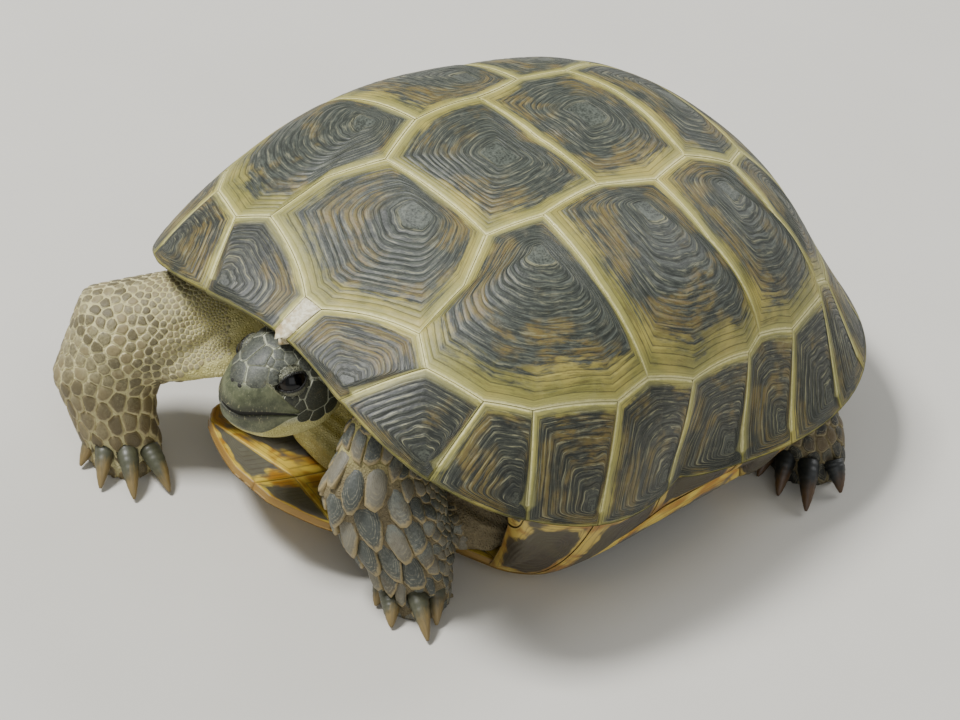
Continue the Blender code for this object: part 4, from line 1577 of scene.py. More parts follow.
    def sink_round(self, eye: Socket, half: Sequence[float], radius: float) -> None:
        """Draw the skin in under an eye and its lids, so that neither is covered.

        Args:
            eye: where the eye lies.
            half: half the length and breadth of its lids.
            radius: the eyeball's radius.
        """
        points = points_of(self.skin)
        away = points - eye.centre
        rise, along, across = away @ eye.out, away @ eye.along, away @ eye.across
        inside = (np.hypot(along / (half[0] * 0.80), across / (half[1] * 0.80)) < 1) & (rise > 0)
        surface = np.sqrt(np.maximum(radius**2 - along**2 - across**2, 0))
        points[inside] -= eye.out * (rise - np.minimum(rise, surface - 0.9))[inside, None]
        set_points(self.skin, points)

    def nearest(self, points: Array) -> tuple[Array, Array]:
        """The skin's nearest points and its normals there."""
        found = [self.tree.find_nearest(Vector(point * MM)) for point in points]
        return np.array([item[0] for item in found]) / MM, np.array([item[1] for item in found])


# --- scales


@dataclass(frozen=True)
class Plates:
    """Where scales are rooted, how broad they are, which way each lies and how far it overlaps."""

    roots: Array
    reach: Array
    lie: Array
    lap: Array
    chart: Array

    @property
    def stretch(self) -> Array:
        """How much longer than broad each is."""
        return 1 + 0.85 * self.lap

    def tree(self) -> KDTree:
        """Index the roots.

        Returns:
            A search tree.
        """
        tree = KDTree(len(self.roots))
        for k, root in enumerate(self.roots):
            tree.insert(root, k)
        tree.balance()
        return tree


@dataclass
class Coat:
    """Scales as closed plates over the skin, each bounded by its neighbours."""

    hide: Hide
    corners: int = 12
    gap: float = 0.12
    rise: float = 0.46
    spread: float = 1.5
    tilt: float = 0.52
    root_depth: float = 0.35
    floor: float = 0.08
    first_turn: float = 0.31
    profile: tuple[Chart, ...] = ((1.0, -0.35), (1.0, 0.10), (0.90, 0.62), (0.52, 1.0))

    def shift(self, plates: Plates) -> Array:
        """Find how far neighbours push each root.

        Args:
            plates: the scales.

        Returns:
            Each root's move.
        """
        shift, tree, stretch = np.zeros_like(plates.roots), plates.tree(), plates.stretch
        for k, root in enumerate(plates.roots):
            others = [index for _, index, _ in tree.find_range(root, plates.reach[k] * 2.6) if index != k]
            if not others:
                continue
            away = root - plates.roots[others]
            away = away - np.outer(away @ plates.lie[k] * (1 - 1 / stretch[k]), plates.lie[k])
            gap = np.linalg.norm(away, axis=1)
            push = np.maximum(plates.reach[k] + plates.reach[others] - gap, 0) * 0.35
            shift[k] = (away / np.maximum(gap, 1e-6)[:, None] * push[:, None]).sum(0)
        return shift

    def relax(self, plates: Plates, rounds: int) -> Array:
        """Push the roots apart over the skin, until they lie evenly.

        Args:
            plates: the scales.
            rounds: how often.

        Returns:
            The new roots.
        """
        for _ in range(rounds):
            roots, _ = self.hide.nearest(plates.roots + np.clip(self.shift(plates), -0.8, 0.8))
            plates = replace(plates, roots=roots)
        return plates.roots

    def limits(self, plates: Plates, normals: Array, ahead: Array, across: Array) -> Array:
        """How far each scale reaches at each of its corners, from its neighbours' places.

        Args:
            plates: the scales.
            normals: the skin's normal at each root.
            ahead: the direction that each scale lies in.
            across: the direction across it.

        Returns:
            The reach at each corner.
        """
        roots, reach, stretch = plates.roots, plates.reach, plates.stretch
        turns = circle(self.corners, self.first_turn)
        limits = np.repeat((reach * self.spread)[:, None], self.corners, axis=1)
        tree, longest = plates.tree(), reach.max()
        for k, root in enumerate(roots):
            for _, index, _ in tree.find_range(root, (reach[k] + longest) * 1.5 * stretch[k]):
                away = roots[index] - root
                fore, side = away @ ahead[k] / stretch[k], away @ across[k]
                gap = math.hypot(fore, side)
                if index == k or gap < 1e-3 or normals[index] @ normals[k] < -0.2:
                    continue
                facing = np.cos(turns - math.atan2(side, fore))
                cut = max(gap * reach[k] / (reach[k] + reach[index]) - self.gap, 0.15)
                bound = np.where(facing > 0.08, cut / np.maximum(facing, 0.08), np.inf)
                limits[k] = np.minimum(limits[k], bound)
        return limits

    def build(self, name: str, plates: Plates, rng: Generator) -> Mesh:
        """Model every scale of one piece.

        Args:
            name: the piece's name.
            plates: the scales' places.
            rng: the source of each scale's own tone.

        Returns:
            The joined scales.
        """
        _, normals = self.hide.nearest(plates.roots)
        ahead = flattened(plates.lie, normals)
        across = np.cross(normals, ahead)
        count, rows = len(plates.roots), len(self.profile)
        turns = circle(self.corners, self.first_turn)
        shares, rises = np.array(self.profile).T
        fore, side = shares[:, None] * np.cos(turns), shares[:, None] * np.sin(turns)
        limits = self.limits(plates, normals, ahead, across)[:, None]
        reach, lap, stretch = (values[:, None, None] for values in (plates.reach, plates.lap, plates.stretch))
        forth = fore * limits * stretch + lap * reach * (0.5 + 0.5 * np.cos(turns)) * shares[:, None]
        body = plates.roots[:, None, None] + ahead[:, None, None] * forth[..., None]
        body = body + across[:, None, None] * (side * limits)[..., None]
        ends = np.repeat(plates.roots[:, None], 2, axis=1)
        body = np.concatenate([body.reshape(count, rows * self.corners, 3), ends], 1)
        spots, outward = (found.reshape(body.shape) for found in self.hide.nearest(body.reshape(-1, 3)))
        size = np.clip(reach / 1.7, 0.45, 1.5)
        height = rises[None, :, None] * self.rise * size + lap * fore * reach * self.tilt
        # The first row is the hidden root, so it stays under the skin whatever the tilt.
        height[:, 0] = -self.root_depth
        top = self.rise * size[:, 0] * 1.06
        height = np.concatenate([
            height.reshape(count, rows * self.corners), top, np.full((count, 1), -self.root_depth),
        ], 1)
        points = spots + outward * height[..., None]
        points[..., 2] = np.maximum(points[..., 2], self.floor)
        single, order = self.plate()
        mesh = bpy.data.meshes.new(name)
        with modelled(mesh) as bm:
            for _ in range(count):
                bm.from_mesh(single)
        bpy.data.meshes.remove(single)
        set_points(mesh, points[:, order].reshape(-1, 3))
        rim = np.concatenate([np.repeat(shares, self.corners), [0.0, 1.0]])[order]
        fore, side = (np.concatenate([values.ravel(), [0.0, 0.0]])[order] for values in (fore, side))
        set_layers(mesh, {
            "rim": np.tile(rim, count), "fore": np.tile(fore, count),
            "tone": np.repeat(rng.uniform(size=count), len(rim)), "reach": np.repeat(plates.reach, len(rim)),
        })
        self.lay_out(mesh, plates.chart[:, None] + np.stack([fore, side], -1)[None] * 0.0015)
        return mesh

    def plate(self) -> tuple[Mesh, Array]:
        """Model one plate as a capped tube with a ring for each row of the profile.

        Returns:
            The plate, and each vertex's number when they are counted ring by ring, then top and bottom.
        """
        rows = len(self.profile)
        mesh = bpy.data.meshes.new("plate")
        with modelled(mesh) as bm:
            bmesh.ops.create_cone(
                bm, cap_ends=True, cap_tris=True, segments=self.corners, radius1=1, radius2=1, depth=rows - 1,
            )
            upright = [edge for edge in bm.edges if edge.verts[0].co.z * edge.verts[1].co.z < 0]
            bmesh.ops.subdivide_edges(bm, edges=upright, cuts=rows - 2, use_grid_fill=True)
        x, y, z = read(mesh.vertices, "co").T
        row = np.rint(z + (rows - 1) / 2).astype(int)
        corner = np.rint(np.arctan2(y, x) / (2 * math.pi) * self.corners).astype(int) % self.corners
        ends = rows * self.corners + (z < 0)
        return mesh, np.where(np.hypot(x, y) < 0.5, ends, row * self.corners + corner)

    @staticmethod
    def lay_out(mesh: Mesh, spots: Array) -> None:
        """Give the mesh its OFBake map.

        Args:
            mesh: the joined scales.
            spots: one place in the map a vertex.
        """
        layer = mesh.uv_layers.new(name="OFBake")
        loops = np.empty(len(mesh.loops), np.int32)
        mesh.loops.foreach_get("vertex_index", loops)
        spots = np.clip(spots.reshape(-1, 2), 0.001, 0.999)
        layer.uv.foreach_set("vector", spots[loops].astype(np.float32).ravel())


@dataclass(frozen=True)
class Grade:
    """A measure of a limb's scales: what it starts with, and how it changes down the limb."""

    start: float
    slope: float = 0.0
    steps: tuple[Spot, ...] = ()
    front: tuple[float, float, float, float, float] = (0.0, 0.0, 1.0, 2.0, 3.0)
    front_way: Spot = (0.15, -0.95, 0.25)

    def at(self, along: Array, normals: Array) -> Array:
        """Read the measure.

        Args:
            along: how far down the limb each place is, from 0 to 1.
            normals: the skin's normals there.

        Returns:
            The start and slope, the steps' amounts, and what is added on the limb's front.
        """
        amount, rise, full, keep, end = self.front
        front = eased(normals @ unit(np.array(self.front_way)), 0.05, 0.65)
        added = amount * front * eased(along, rise, full) * (1 - eased(along, keep, end))
        stepped = sum(step * eased(along, low, high) for step, low, high in self.steps)
        return self.start + self.slope * along + added + stepped


@dataclass
class LimbScales:
    """The scales of one leg or of the tail."""

    limb: Limb
    seed: int
    finish: ScaleFinish
    size: Grade
    lap: Grade
    first: float = 0.30
    smallest: float = 0.62
    near: float = 2.1
    coat: dict[str, float] = field(default_factory=dict)

    def build(self, hide: Hide) -> Mesh:
        """Scatter, even out and model the scales.

        Args:
            hide: the skin.

        Returns:
            The joined scales.
        """
        rng = default_rng(self.seed)
        coat = Coat(hide, **self.coat)
        plates = self.plates(*self.scatter(hide, rng))
        roots, normals = hide.nearest(coat.relax(plates, 12))
        return coat.build(f"scales_{self.limb.name}", self.plates(roots, normals), rng)

    def plates(self, roots: Array, normals: Array) -> Plates:
        """Size and turn scales by their places, and unroll the limb into their chart.

        Args:
            roots: where the scales are rooted.
            normals: the skin's normals there.

        Returns:
            The scales.
        """
        along, heading = self.limb.along(roots)
        side = unit(np.cross(heading, (0.3, 0.9, 0.3)))
        front = np.cross(heading, side)
        turn = np.arctan2((normals * side).sum(1), (normals * front).sum(1))
        chart = np.stack([0.5 + turn / (2 * math.pi) * 0.96, 0.02 + 0.96 * along], -1)
        return Plates(roots, self.size.at(along, normals), heading, self.lap.at(along, normals), chart)

    def scatter(self, hide: Hide, rng: Generator) -> tuple[Array, Array]:
        """Throw roots on the limb's skin, refusing any too near another.

        Args:
            hide: the skin.
            rng: the source of the throws.

        Returns:
            The roots and the skin's normals there.
        """
        centres, flat = read(hide.skin.polygons, "center") / MM, read(hide.skin.polygons, "normal")
        inside = (self.limb.along(centres)[0] > self.first) & (centres[:, 2] > 1.2) & (flat[:, 2] > -0.85)
        inside[inside] = is_near(centres[inside], self.limb.nodes, self.near)
        spots = np.repeat(centres[inside], 4, axis=0)
        spots = spots + rng.normal(0, 0.45, spots.shape)
        order = rng.permutation(len(spots))
        spots, facing = spots[order], np.repeat(flat[inside], 4, axis=0)[order]
        plates = self.plates(spots, facing)
        reach, lie, stretch = plates.reach, plates.lie, plates.stretch
        keys = np.floor(spots / (2.2 * reach.max())).astype(int)
        grid: dict[Spot, list[int]] = {}
        for k in np.flatnonzero(reach >= self.smallest):
            cells = (tuple(keys[k] + move - 1) for move in np.ndindex(3, 3, 3))
            around = [index for cell in cells for index in grid.get(cell, ())]
            away = spots[around] - spots[k]
            away = away - np.outer(away @ lie[k] * (1 - 1 / stretch[k]), lie[k])
            if (np.linalg.norm(away, axis=1) >= 0.86 * (reach[around] + reach[k])).all():
                grid.setdefault(tuple(keys[k]), []).append(k)
        accepted = sorted(index for group in grid.values() for index in group)
        return spots[accepted], facing[accepted]


NEAR_FINISH = ScaleFinish(
    "foreleg_scales", middle=(0.056, 0.062, 0.052), light=(0.170, 0.181, 0.153), rim=(0.34, 0.265, 0.125),
    ringed=0.42, rust_share=0.34, rim_from=0.85,
)
FAR_FINISH = ScaleFinish(
    "outer_foreleg_scales", middle=(0.125, 0.104, 0.048), light=(0.35, 0.31, 0.160), rim=(0.68, 0.62, 0.34),
    ringed=0.2, rust_share=0.42, low_shade=0.55,
)
HIND_FINISH = ScaleFinish(
    "hindleg_scales", middle=(0.012, 0.012, 0.008), light=(0.050, 0.048, 0.030), rim=(0.24, 0.20, 0.10),
)
TAIL_FINISH = ScaleFinish(
    "tail_scales", middle=(0.075, 0.068, 0.036), light=(0.19, 0.175, 0.10), rim=(0.42, 0.36, 0.17),
)
HIND_SIZE = Grade(1.25, steps=((0.75, 0.55, 0.95),))
HIND_LAP = Grade(0.10, steps=((0.25, 0.5, 0.9),))
SCALE_PLANS = (
    LimbScales(
        LEFT_FORE, 11, NEAR_FINISH,
        size=Grade(1.10, steps=((0.35, 0.8, 0.95),), front=(1.65, 0.20, 0.48, 0.65, 1.0)),
        lap=Grade(0.15, front=(0.95, 0.25, 0.5, 2.0, 3.0)),
        first=0.22, near=1.5, coat={"gap": 0.05, "rise": 0.60, "spread": 2.3, "tilt": 0.60},
    ),
    LimbScales(
        RIGHT_FORE, 12, FAR_FINISH, size=Grade(0.42, steps=((1.13, 0.28, 0.62), (0.55, 0.60, 0.80))),
        lap=Grade(0.05, steps=((0.25, 0.6, 0.85),)), smallest=0.36,
    ),
    LimbScales(LEFT_HIND, 13, HIND_FINISH, HIND_SIZE, HIND_LAP),
    LimbScales(RIGHT_HIND, 14, HIND_FINISH, HIND_SIZE, HIND_LAP),
    LimbScales(TAIL, 15, TAIL_FINISH, Grade(1.25, slope=-0.45), HIND_LAP, first=0.05),
)


@dataclass
class Armour(Assembly):
    """The horny scales of the four legs and the tail, each limb's in one piece."""

    hide: Hide
    plans: tuple[LimbScales, ...] = SCALE_PLANS

    def build(self) -> list[Object]:
        """Model every limb's scales and return them."""
        materials: dict[str, Material] = {}
        for plan in self.plans:
            name = plan.finish.name
            if name not in materials:
                materials[name] = plan.finish.build()
            self.add(f"scales_{plan.limb.name}", plan.build(self.hide), materials[name], Slot.SKIN)
        return self.pieces


# --- head


@dataclass
class Head(Assembly):
    """Horn plates, beak, lids, eyes and nostrils over the head's skin."""

    hide: Hide
    middle: float = -2.0
    eye_spot: Spot = (6.85, -81.10, 58.6)
    eye_radius: float = 4.5
    eye_facing: Spot = (0.78, -0.36, 0.48)
    lid_way: Spot = (0.0, 1.0, 0.10)
    lid_half: Chart = (3.95, 1.95)
    lid_outer: Chart = (6.0, 4.7)
    lid_profile: tuple[Chart, ...] = (
        (1.0, -1.6), (0.5, -1.2), (-0.05, -0.55), (-0.03, 0.0), (0.0, 0.22), (0.06, 0.42), (0.13, 0.50),
        (0.20, 0.44), (0.27, 0.24), (0.34, 0.42), (0.43, 0.52), (0.52, 0.40), (0.60, 0.22), (0.68, 0.34),
        (0.77, 0.32), (0.86, 0.14), (0.94, -0.05), (1.0, -0.35), (1.0, -1.6),
    )
    nostril_spot: Spot = (1.45, -93.4, 58.9)
    nostril_half: Spot = (0.72, 0.6, 0.50)
    beak_axis: Spot = (-2.0, -80.0, 0.0)
    beak_turn: float = 86.0
    drawn_turn: float = 92.0
    mouth_line: tuple[Chart, ...] = ((0, 51.7), (20, 52.3), (35, 52.7), (51, 52.5), (70, 51.8), (92, 50.9))
    beak_top: tuple[Chart, ...] = (
        (0, 59.6), (12, 59.4), (24, 60.0), (38, 60.6), (48, 59.4), (62, 57.2), (78, 54.2), (92, 51.6),
    )
    jaw_line: tuple[Chart, ...] = (
        (0, 47.2), (12, 46.0), (22, 45.0), (38, 44.3), (55, 46.4), (73, 49.4), (92, 50.2),
    )
    crown_plates: tuple[Seed, ...] = (
        (-6.2, -85.2, 64.0, 4.6), (-1.2, -86.0, 64.3, 4.2), (1.3, -88.8, 62.4, 3.2),
        (-4.6, -91.6, 60.2, 3.4), (-3.0, -79.4, 66.6, 3.6), (1.6, -82.6, 65.6, 1.8),
        (3.6, -84.0, 64.3, 1.6), (1.3, -79.2, 66.4, 2.0), (3.6, -80.6, 65.4, 1.6),
        (4.6, -86.4, 62.4, 1.7), (1.4, -85.2, 64.6, 1.4), (0.4, -76.2, 66.8, 2.3),
        (3.8, -77.4, 65.8, 1.9), (6.4, -76.6, 63.9, 2.0), (-3.6, -74.6, 67.0, 3.0),
        (-9.6, -80.4, 64.0, 2.6), (-7.0, -77.0, 66.0, 2.4), (-9.0, -88.6, 60.2, 2.6),
        (-11.6, -84.0, 60.4, 1.8), (-11.6, -80.4, 61.4, 2.0),
    )
    cheek_pairs: tuple[Seed, ...] = (
        (13.1, -76.6, 54.6, 4.6), (10.9, -83.2, 55.4, 1.7), (12.0, -80.9, 52.9, 1.7),
        (11.9, -80.4, 57.0, 1.3), (10.6, -74.4, 61.8, 2.2),
    )
    temple_plate: Seed = (-11.0, -77.6, 63.4, 1.8)
    nape_pair: Seed = (8.2, -72.9, 64.6, 2.4)
    nape_plate: Seed = (1.2, -72.4, 66.8, 2.5)
    neck_pairs: tuple[Seed, ...] = (
        (12.6, -71.8, 59.0, 2.4), (13.4, -71.2, 54.8, 2.2), (12.6, -79.4, 49.7, 1.8),
        (13.2, -75.6, 48.7, 2.0), (13.0, -71.6, 49.9, 2.0),
    )
    plate_profile: tuple[Chart, ...] = ((1.0, -0.3), (1.0, 0.62), (0.975, 0.90), (0.90, 1.0), (0.45, 1.04))

    def build(self) -> list[Object]:
        """Model everything that the head wears and return its pieces."""
        self.plates(PlateFinish().build())
        beak, lid = BeakFinish().build(), LidFinish().build()
        eye, dark = EyeFinish().build(), HollowFinish().build()
        mouth = self.mouth_line
        self.jaw("beak_upper", raised(mouth, 0.35), self.beak_top, beak, (0.45, -0.25), 0.5)
        self.jaw("beak_lower", self.jaw_line, raised(mouth, -0.75), beak, (-0.15, 0.35), 0.35)
        self.jaw("mouth", raised(mouth, -1.0), raised(mouth, 0.6), dark, (0.0, 0.0), 0.12)
        for side in Side:
            socket = self.socket(side)
            self.eye(side, socket, eye)
            self.lids(side, socket, lid)
            self.hide.sink_round(socket, self.lid_outer, self.eye_radius)
            self.nostril(side, dark)
        return self.pieces

    def both(self, *plates: Seed) -> list[Seed]:
        """Plates on the left and the right, from their distance to the head's middle."""
        return [(self.middle + side.sign * x, *rest) for x, *rest in plates for side in Side]

    def plates(self, material: Material) -> None:
        """Model the polygonal plates of the crown, the temples and the cheeks.

        Args:
            material: what they wear.
        """
        seeds = np.array([
            *self.crown_plates, *self.both(*self.cheek_pairs), self.temple_plate, *self.both(self.nape_pair),
            self.nape_plate, *self.both(*self.neck_pairs),
        ])
        roots, normals = self.hide.nearest(seeds[:, :3])
        forward = np.tile((0.0, -1.0, 0.0), (len(roots), 1))
        x, y, z = roots.T
        chart = np.stack([0.5 + (x - self.middle) * 0.03, (z - 44) * 0.02 + (y + 96) * 0.02], -1)
        plates = Plates(roots, seeds[:, 3], flattened(forward, normals), np.zeros(len(roots)), chart)
        coat = Coat(self.hide, corners=36, gap=0.035, rise=0.28, spread=1.42, profile=self.plate_profile)
        mesh = coat.build("head_plates", plates, default_rng(3))
        self.add("head_plates", mesh, material, Slot.SKIN)

    def jaw(
        self, name: str, low: Sequence[Chart], high: Sequence[Chart], material: Material, lips: Chart,
        thick: float,
    ) -> None:
        """Model a horny band round the front of the head between two heights.

        Args:
            name: the piece's name.
            low: its lower edge, as angle from the nose and height.
            high: its upper edge.
            material: what it wears.
            lips: how far the lower and the upper edge swell.
            thick: how far its face stands over the skin.
        """
        across, rows = 120, 22
        angles = np.linspace(-self.beak_turn, self.beak_turn, across)
        drawn = angles * self.drawn_turn / self.beak_turn
        low_z, high_z = smooth_line(low, drawn), smooth_line(high, drawn)
        shares = np.linspace(0, 1, rows)
        swell = sum(lip * np.exp(-((gap / 0.16) ** 2)) for lip, gap in zip(lips, (shares, 1 - shares)))
        bevel = np.sqrt(np.clip(np.minimum(shares, 1 - shares) / 0.05, 0, 1))
        rise = (thick + swell) * (0.35 + 0.65 * bevel)
        fade = np.sqrt(np.maximum(1 - (np.abs(angles) / (self.beak_turn + 1)) ** 8, 0.02))
        face, back = np.zeros((2, across, rows, 3))
        for i, turn in enumerate(np.radians(angles)):
            ray = Vector((math.sin(turn), -math.cos(turn), 0))
            for j, share in enumerate(shares):
                height = Vector((0, 0, low_z[i] + (high_z[i] - low_z[i]) * share))
                start = (Vector(self.beak_axis) + height + ray * 20) * MM
                spot, normal, _, _ = self.hide.tree.ray_cast(start, -ray)
                face[i, j] = spot / MM + normal * rise[j] * fade[i]
                back[i, j] = spot / MM - normal * 0.6
        body = np.concatenate([face, back[:, ::-1]], 1)
        first, last = (np.repeat(body[end].mean(0)[None, None], 2 * rows, 1) for end in (0, -1))
        level = np.concatenate([shares, shares[::-1]])
        level = 1 - level if lips[0] > lips[1] else level
        turned = np.concatenate([[0], np.abs(angles) / self.beak_turn, [1]])
        layers = {"level": np.tile(level, (across + 2, 1)), "round": np.repeat(turned[:, None], 2 * rows, 1)}
        self.add(name, wrapped_grid(name, np.concatenate([first, body, last]), layers), material, Slot.SKIN)

    def socket(self, side: Side) -> Socket:
        """Find where an eye lies.

        Args:
            side: the side of the head.

        Returns:
            Its centre and directions.
        """
        across, forward, up = self.eye_spot
        out = unit(np.array((side.sign * self.eye_facing[0], *self.eye_facing[1:])))
        along = unit(np.array(self.lid_way) - out * np.dot(self.lid_way, out))
        centre = np.array((self.middle + side.sign * across, forward, up))
        return Socket(centre, along, np.cross(out, along) * side.sign, out)

    def eye(self, side: Side, socket: Socket, material: Material) -> None:
        """Model a glossy ball that knows how squarely each point faces out, for its pupil.

        Args:
            side: the side of the head.
            socket: where the eye lies.
            material: what it wears.
        """
        name = f"eyeball_{side.value}"
        mesh = ball(name, socket.centre, (self.eye_radius,) * 3, 5)
        set_layers(mesh, {"gaze": unit(points_of(mesh) - socket.centre) @ socket.out})
        self.add(name, mesh, material, Slot.EYE, f"eye_{side.value}")

    def lids(self, side: Side, socket: Socket, material: Material) -> None:
        """Model a rounded rim round an almond opening, which runs out into the skin.

        Args:
            side: the side of the head.
            socket: where the eye lies.
            material: what they wear.
        """
        turn = circle(96)
        cos, sin = np.cos(turn), np.sin(turn)
        almond = np.stack([cos, np.sign(sin) * np.abs(sin) ** 1.30], -1) * self.lid_half
        oval = np.stack([cos, sin], -1) * self.lid_outer
        oval = oval * np.where(oval[:, :1] < 0, 0.93, 1.0)
        points = np.zeros((len(self.lid_profile), len(turn), 3))
        for row, (share, rise) in enumerate(self.lid_profile):
            flat = almond + (oval - almond) * share
            base = socket.centre + flat @ (socket.along, socket.across)
            depth = np.sqrt(np.maximum(self.eye_radius**2 - (flat**2).sum(1), 0.2))
            starts = (base + socket.out * 14) * MM
            spots = [self.hide.tree.ray_cast(Vector(start), Vector(-socket.out))[0] for start in starts]
            skin = np.array([
                here if spot is None else np.dot(np.array(spot) / MM - place, socket.out)
                for spot, here, place in zip(spots, depth, base)
            ])
            depth = depth + np.maximum(skin - depth, 0) * eased(np.array(share), 0.25, 1.0)
            points[row] = base + socket.out * (depth + rise)[:, None]
        level = np.repeat(np.array(self.lid_profile)[:, :1], len(turn), 1)
        name = f"eyelids_{side.value}"
        self.add(name, wrapped_grid(name, points, {"level": level}), material, Slot.SKIN)

    def nostril(self, side: Side, material: Material) -> None:
        """Model a small dark hollow on the snout.

        Args:
            side: the side of the head.
            material: what it wears.
        """
        across, forward, up = self.nostril_spot
        spots, normals = self.hide.nearest(np.array([(self.middle + side.sign * across, forward, up)]))
        name = f"nostril_{side.value}"
        self.add(name, ball(name, spots[0] + normals[0] * 0.12, self.nostril_half, 3), material, Slot.SKIN)


def raised(line: Sequence[Chart], rise: float) -> list[Chart]:
    """The same line, higher by rise."""
    return [(angle, z + rise) for angle, z in line]


def smooth_line(line: Sequence[Chart], angles: Array, spread: float = 9.0) -> Array:
    """Round off a line's corners.

    Args:
        line: angles either side of the nose and the heights there.
        angles: where the line is read.
        spread: how far round the head each height is averaged.

    Returns:
        The line's height at each angle.
    """
    knots, heights = np.array(line, float).T
    offsets = np.linspace(-1, 1, 9) * spread
    weights = 1 - np.abs(offsets) / (spread * 1.2)
    values = np.interp(np.abs(angles[:, None] + offsets[None]), knots, heights)
    return (values * weights).sum(1) / weights.sum()


# --- claws


@dataclass
class Claws(Assembly):
    """Sixteen horny claws, each in its node's place."""

    fore_finish: ClawFinish = ClawFinish()
    hind_finish: ClawFinish = ClawFinish(
        "hind_claw_horn", root=(0.007, 0.008, 0.007), tip=(0.045, 0.022, 0.006),
    )
    radius: float = 3.0
    tip: float = 0.6
    bend: float = 0.9
    floor: float = 0.12
    back_share: float = 0.92
    sole_share: float = 0.66
    left_fore: tuple[tuple[Spot, Spot], ...] = (
        ((45, -56.5, 7.5), (53, -62.0, 1.2)), ((44.5, -62.8, 7.4), (56, -67.8, 1.2)),
        ((40, -67, 4.4), (46.5, -72, 1.0)), ((34.5, -64, 4.0), (38, -70, 1.0)),
    )
    right_fore: tuple[tuple[Spot, Spot], ...] = (
        ((-53.5, -90, 7.5), (-49.5, -99, 1.2)), ((-47.8, -92, 8), (-39.3, -100.2, 1.2)),
        ((-41.5, -90, 8), (-30.7, -95.5, 1.2)), ((-38.5, -84.5, 7), (-27.5, -86, 1.2)),
    )
    left_hind: tuple[tuple[Spot, Spot], ...] = (
        ((74, 66, 6.5), (80, 64, 1.1)), ((71, 59, 7), (79.5, 50.5, 1.1)),
        ((64.5, 57, 7), (70.5, 48.7, 1.1)), ((58, 58.5, 5.5), (61.5, 50, 1.0)),
    )
    right_back: Spot = (0.0, 6.0, 0.0)

    def build(self) -> list[Object]:
        """Model every claw and return them."""
        fore, hind = self.fore_finish.build(), self.hind_finish.build()
        right_hind = np.array(self.left_hind) * (-1, 1, 1) + self.right_back
        feet = (
            ("left_fore", self.left_fore, fore), ("right_fore", self.right_fore, fore),
            ("left_hind", self.left_hind, hind), ("right_hind", right_hind, hind),
        )
        for foot, ends, material in feet:
            for number, (base, tip) in enumerate(ends, start=1):
                mesh = self.claw(f"{foot}_claw_{number}", base, tip, number)
                self.add(f"{foot}_claw_{number}", mesh, material, Slot.CLAW, f"{foot}claw_{number}")
        return self.pieces

    def claw(self, name: str, base: Sequence[float], tip: Sequence[float], seed: int) -> Mesh:
        """Model one claw as a bent, tapering cone with a blunt, flattened end and fine growth lines.

        Args:
            name: the mesh's name.
            base: the middle of its root.
            tip: its point.
            seed: the source of its tone and of where its growth lines start.

        Returns:
            The closed mesh.
        """
        start, end = np.array(base) + PLACE, np.array(tip) + PLACE
        start = start - (end - start) * 0.10
        run = unit(end - start)
        broad = unit(np.cross((0, 0, 1.0), run))
        turns = circle(28)
        shares = np.concatenate([[0.0], np.linspace(0, 1, 34) ** 0.9, [1.0]])[:, None]
        radius = self.radius + (self.tip - self.radius) * shares**1.9
        radius = radius * np.sqrt(np.maximum(1 - (shares / 1.03) ** 14, 0.05))
        radius = radius * (1 + 0.018 * np.sin(shares * 46 + seed) + 0.012 * np.sin(shares * 23))
        radius[[0, -1]] = 0.0
        thick = np.sin(turns) * np.where(np.sin(turns) < 0, self.sole_share, self.back_share)
        section = (np.cos(turns) * radius)[..., None] * broad
        section = section + (thick * radius)[..., None] * np.cross(run, broad)
        spine = start + (end - start) * shares + (0, 0, 4 * self.bend) * shares * (1 - shares)
        points = spine[:, None] + section
        points[..., 2] = np.maximum(points[..., 2], self.floor)
        layers = {
            "along": shares.repeat(len(turns), 1),
            "tone": np.full(radius.shape, default_rng(seed).uniform()).repeat(len(turns), 1),
            "turn": np.tile(np.cos(turns), (len(shares), 1)),
        }
        return wrapped_grid(name, points, layers)


# --- stage


@dataclass(frozen=True)
class Lamp:
    """A square soft light that faces the animal; lengths in metres, power in watts."""

    name: str
    spot: Spot
    size: float
    power: float

    def build(self) -> None:
        """Hang the lamp."""
        lamp = bpy.data.lights.new(self.name, "AREA")
        lamp.size, lamp.energy = self.size, self.power
        obj = bpy.data.objects.new(self.name, lamp)
        obj.location = self.spot
        towards = Vector((0, 0, 0.04)) - Vector(self.spot)
        obj.rotation_euler = towards.to_track_quat("-Z", "Y").to_euler()
        bpy.context.scene.collection.objects.link(obj)


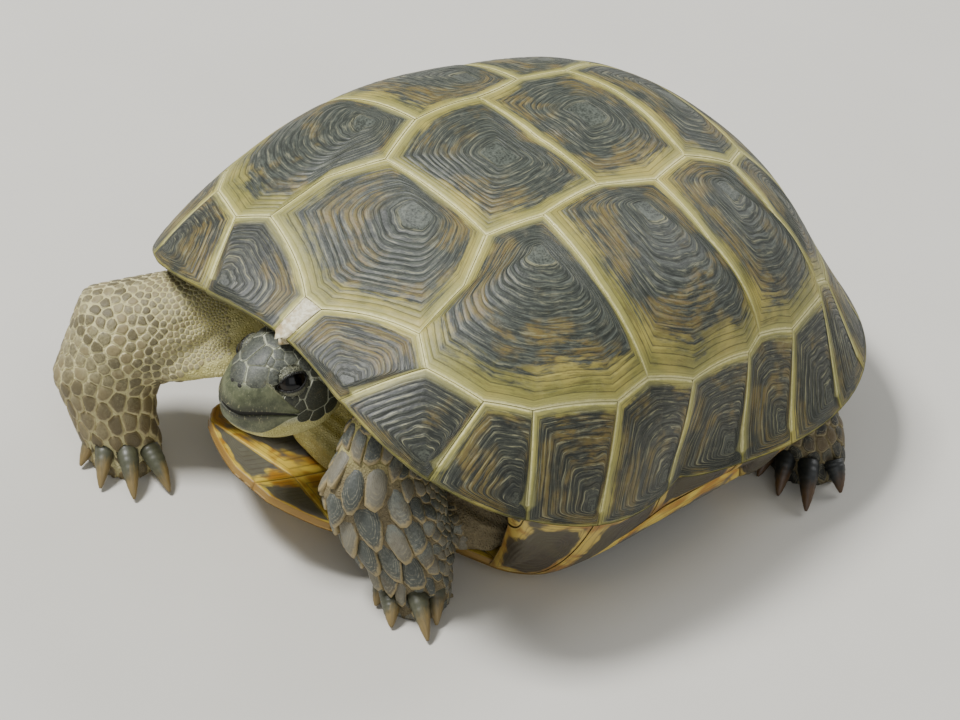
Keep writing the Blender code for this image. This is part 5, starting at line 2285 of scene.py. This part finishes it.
@dataclass
class Studio:
    """A pale floor, soft lights and the camera."""

    sky: Colour = (0.93, 0.96, 1.0)
    sky_power: float = 0.40
    lamps: tuple[Lamp, ...] = (
        Lamp("key", (-0.75, -0.80, 1.90), 0.50, 66.0), Lamp("fill", (1.30, -0.60, 0.9), 1.2, 4.5),
        Lamp("rim", (0.1, 1.5, 1.1), 0.8, 12.0),
    )
    azimuth: float = 42.406
    elevation: float = 39.362
    roll: float = 8.057
    distance: float = 956.528
    lens: float = 136.03
    target: Spot = (16.042, -23.409, 45.0)

    def build(self) -> None:
        """Set the floor, the sky, the lights and the camera."""
        self.floor()
        world = bpy.data.worlds.new("soft_sky")
        world.use_nodes = True
        colour, power = world.node_tree.nodes["Background"].inputs[:2]
        colour.default_value, power.default_value = (*self.sky, 1.0), self.sky_power
        bpy.context.scene.world = world
        for lamp in self.lamps:
            lamp.build()
        self.camera()

    def floor(self) -> None:
        """Lay a wide sweep of pale, faintly mottled plaster."""
        mesh = bpy.data.meshes.new("floor")
        with modelled(mesh) as bm:
            bmesh.ops.create_grid(bm, x_segments=8, y_segments=8, size=3.0)
        g = Graph("studio_floor")
        plaster = g.mix(g.noise(g.place(), 60.0), (0.60, 0.58, 0.52), (0.66, 0.64, 0.58))
        link(mesh, g.finish(plaster, 0.8), "floor")

    def camera(self) -> None:
        """Place the camera by its angles round the target."""
        camera = bpy.data.cameras.new("camera")
        camera.lens, camera.sensor_width = self.lens, 36.0
        camera.clip_start, camera.clip_end = 0.05, 20.0
        obj = bpy.data.objects.new("camera", camera)
        pose = Matrix.Translation(Vector(self.target) * MM)
        for degrees, axis in ((self.azimuth, "Z"), (90 - self.elevation, "X"), (self.roll, "Z")):
            pose = pose @ Matrix.Rotation(math.radians(degrees), 4, axis)
        obj.matrix_world = pose @ Matrix.Translation((0, 0, self.distance * MM))
        bpy.context.scene.collection.objects.link(obj)
        bpy.context.scene.camera = obj


def main() -> None:
    """Build the whole model and report each piece's faces."""
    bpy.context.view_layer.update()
    Studio().build()
    hide = Hide()
    for assembly in (Carapace(), Plastron(), hide, Armour(hide), Head(hide), Claws()):
        for piece in assembly.build():
            log.info("%s: %d faces", piece.name, len(piece.data.polygons))


if __name__ == "__main__":
    main()
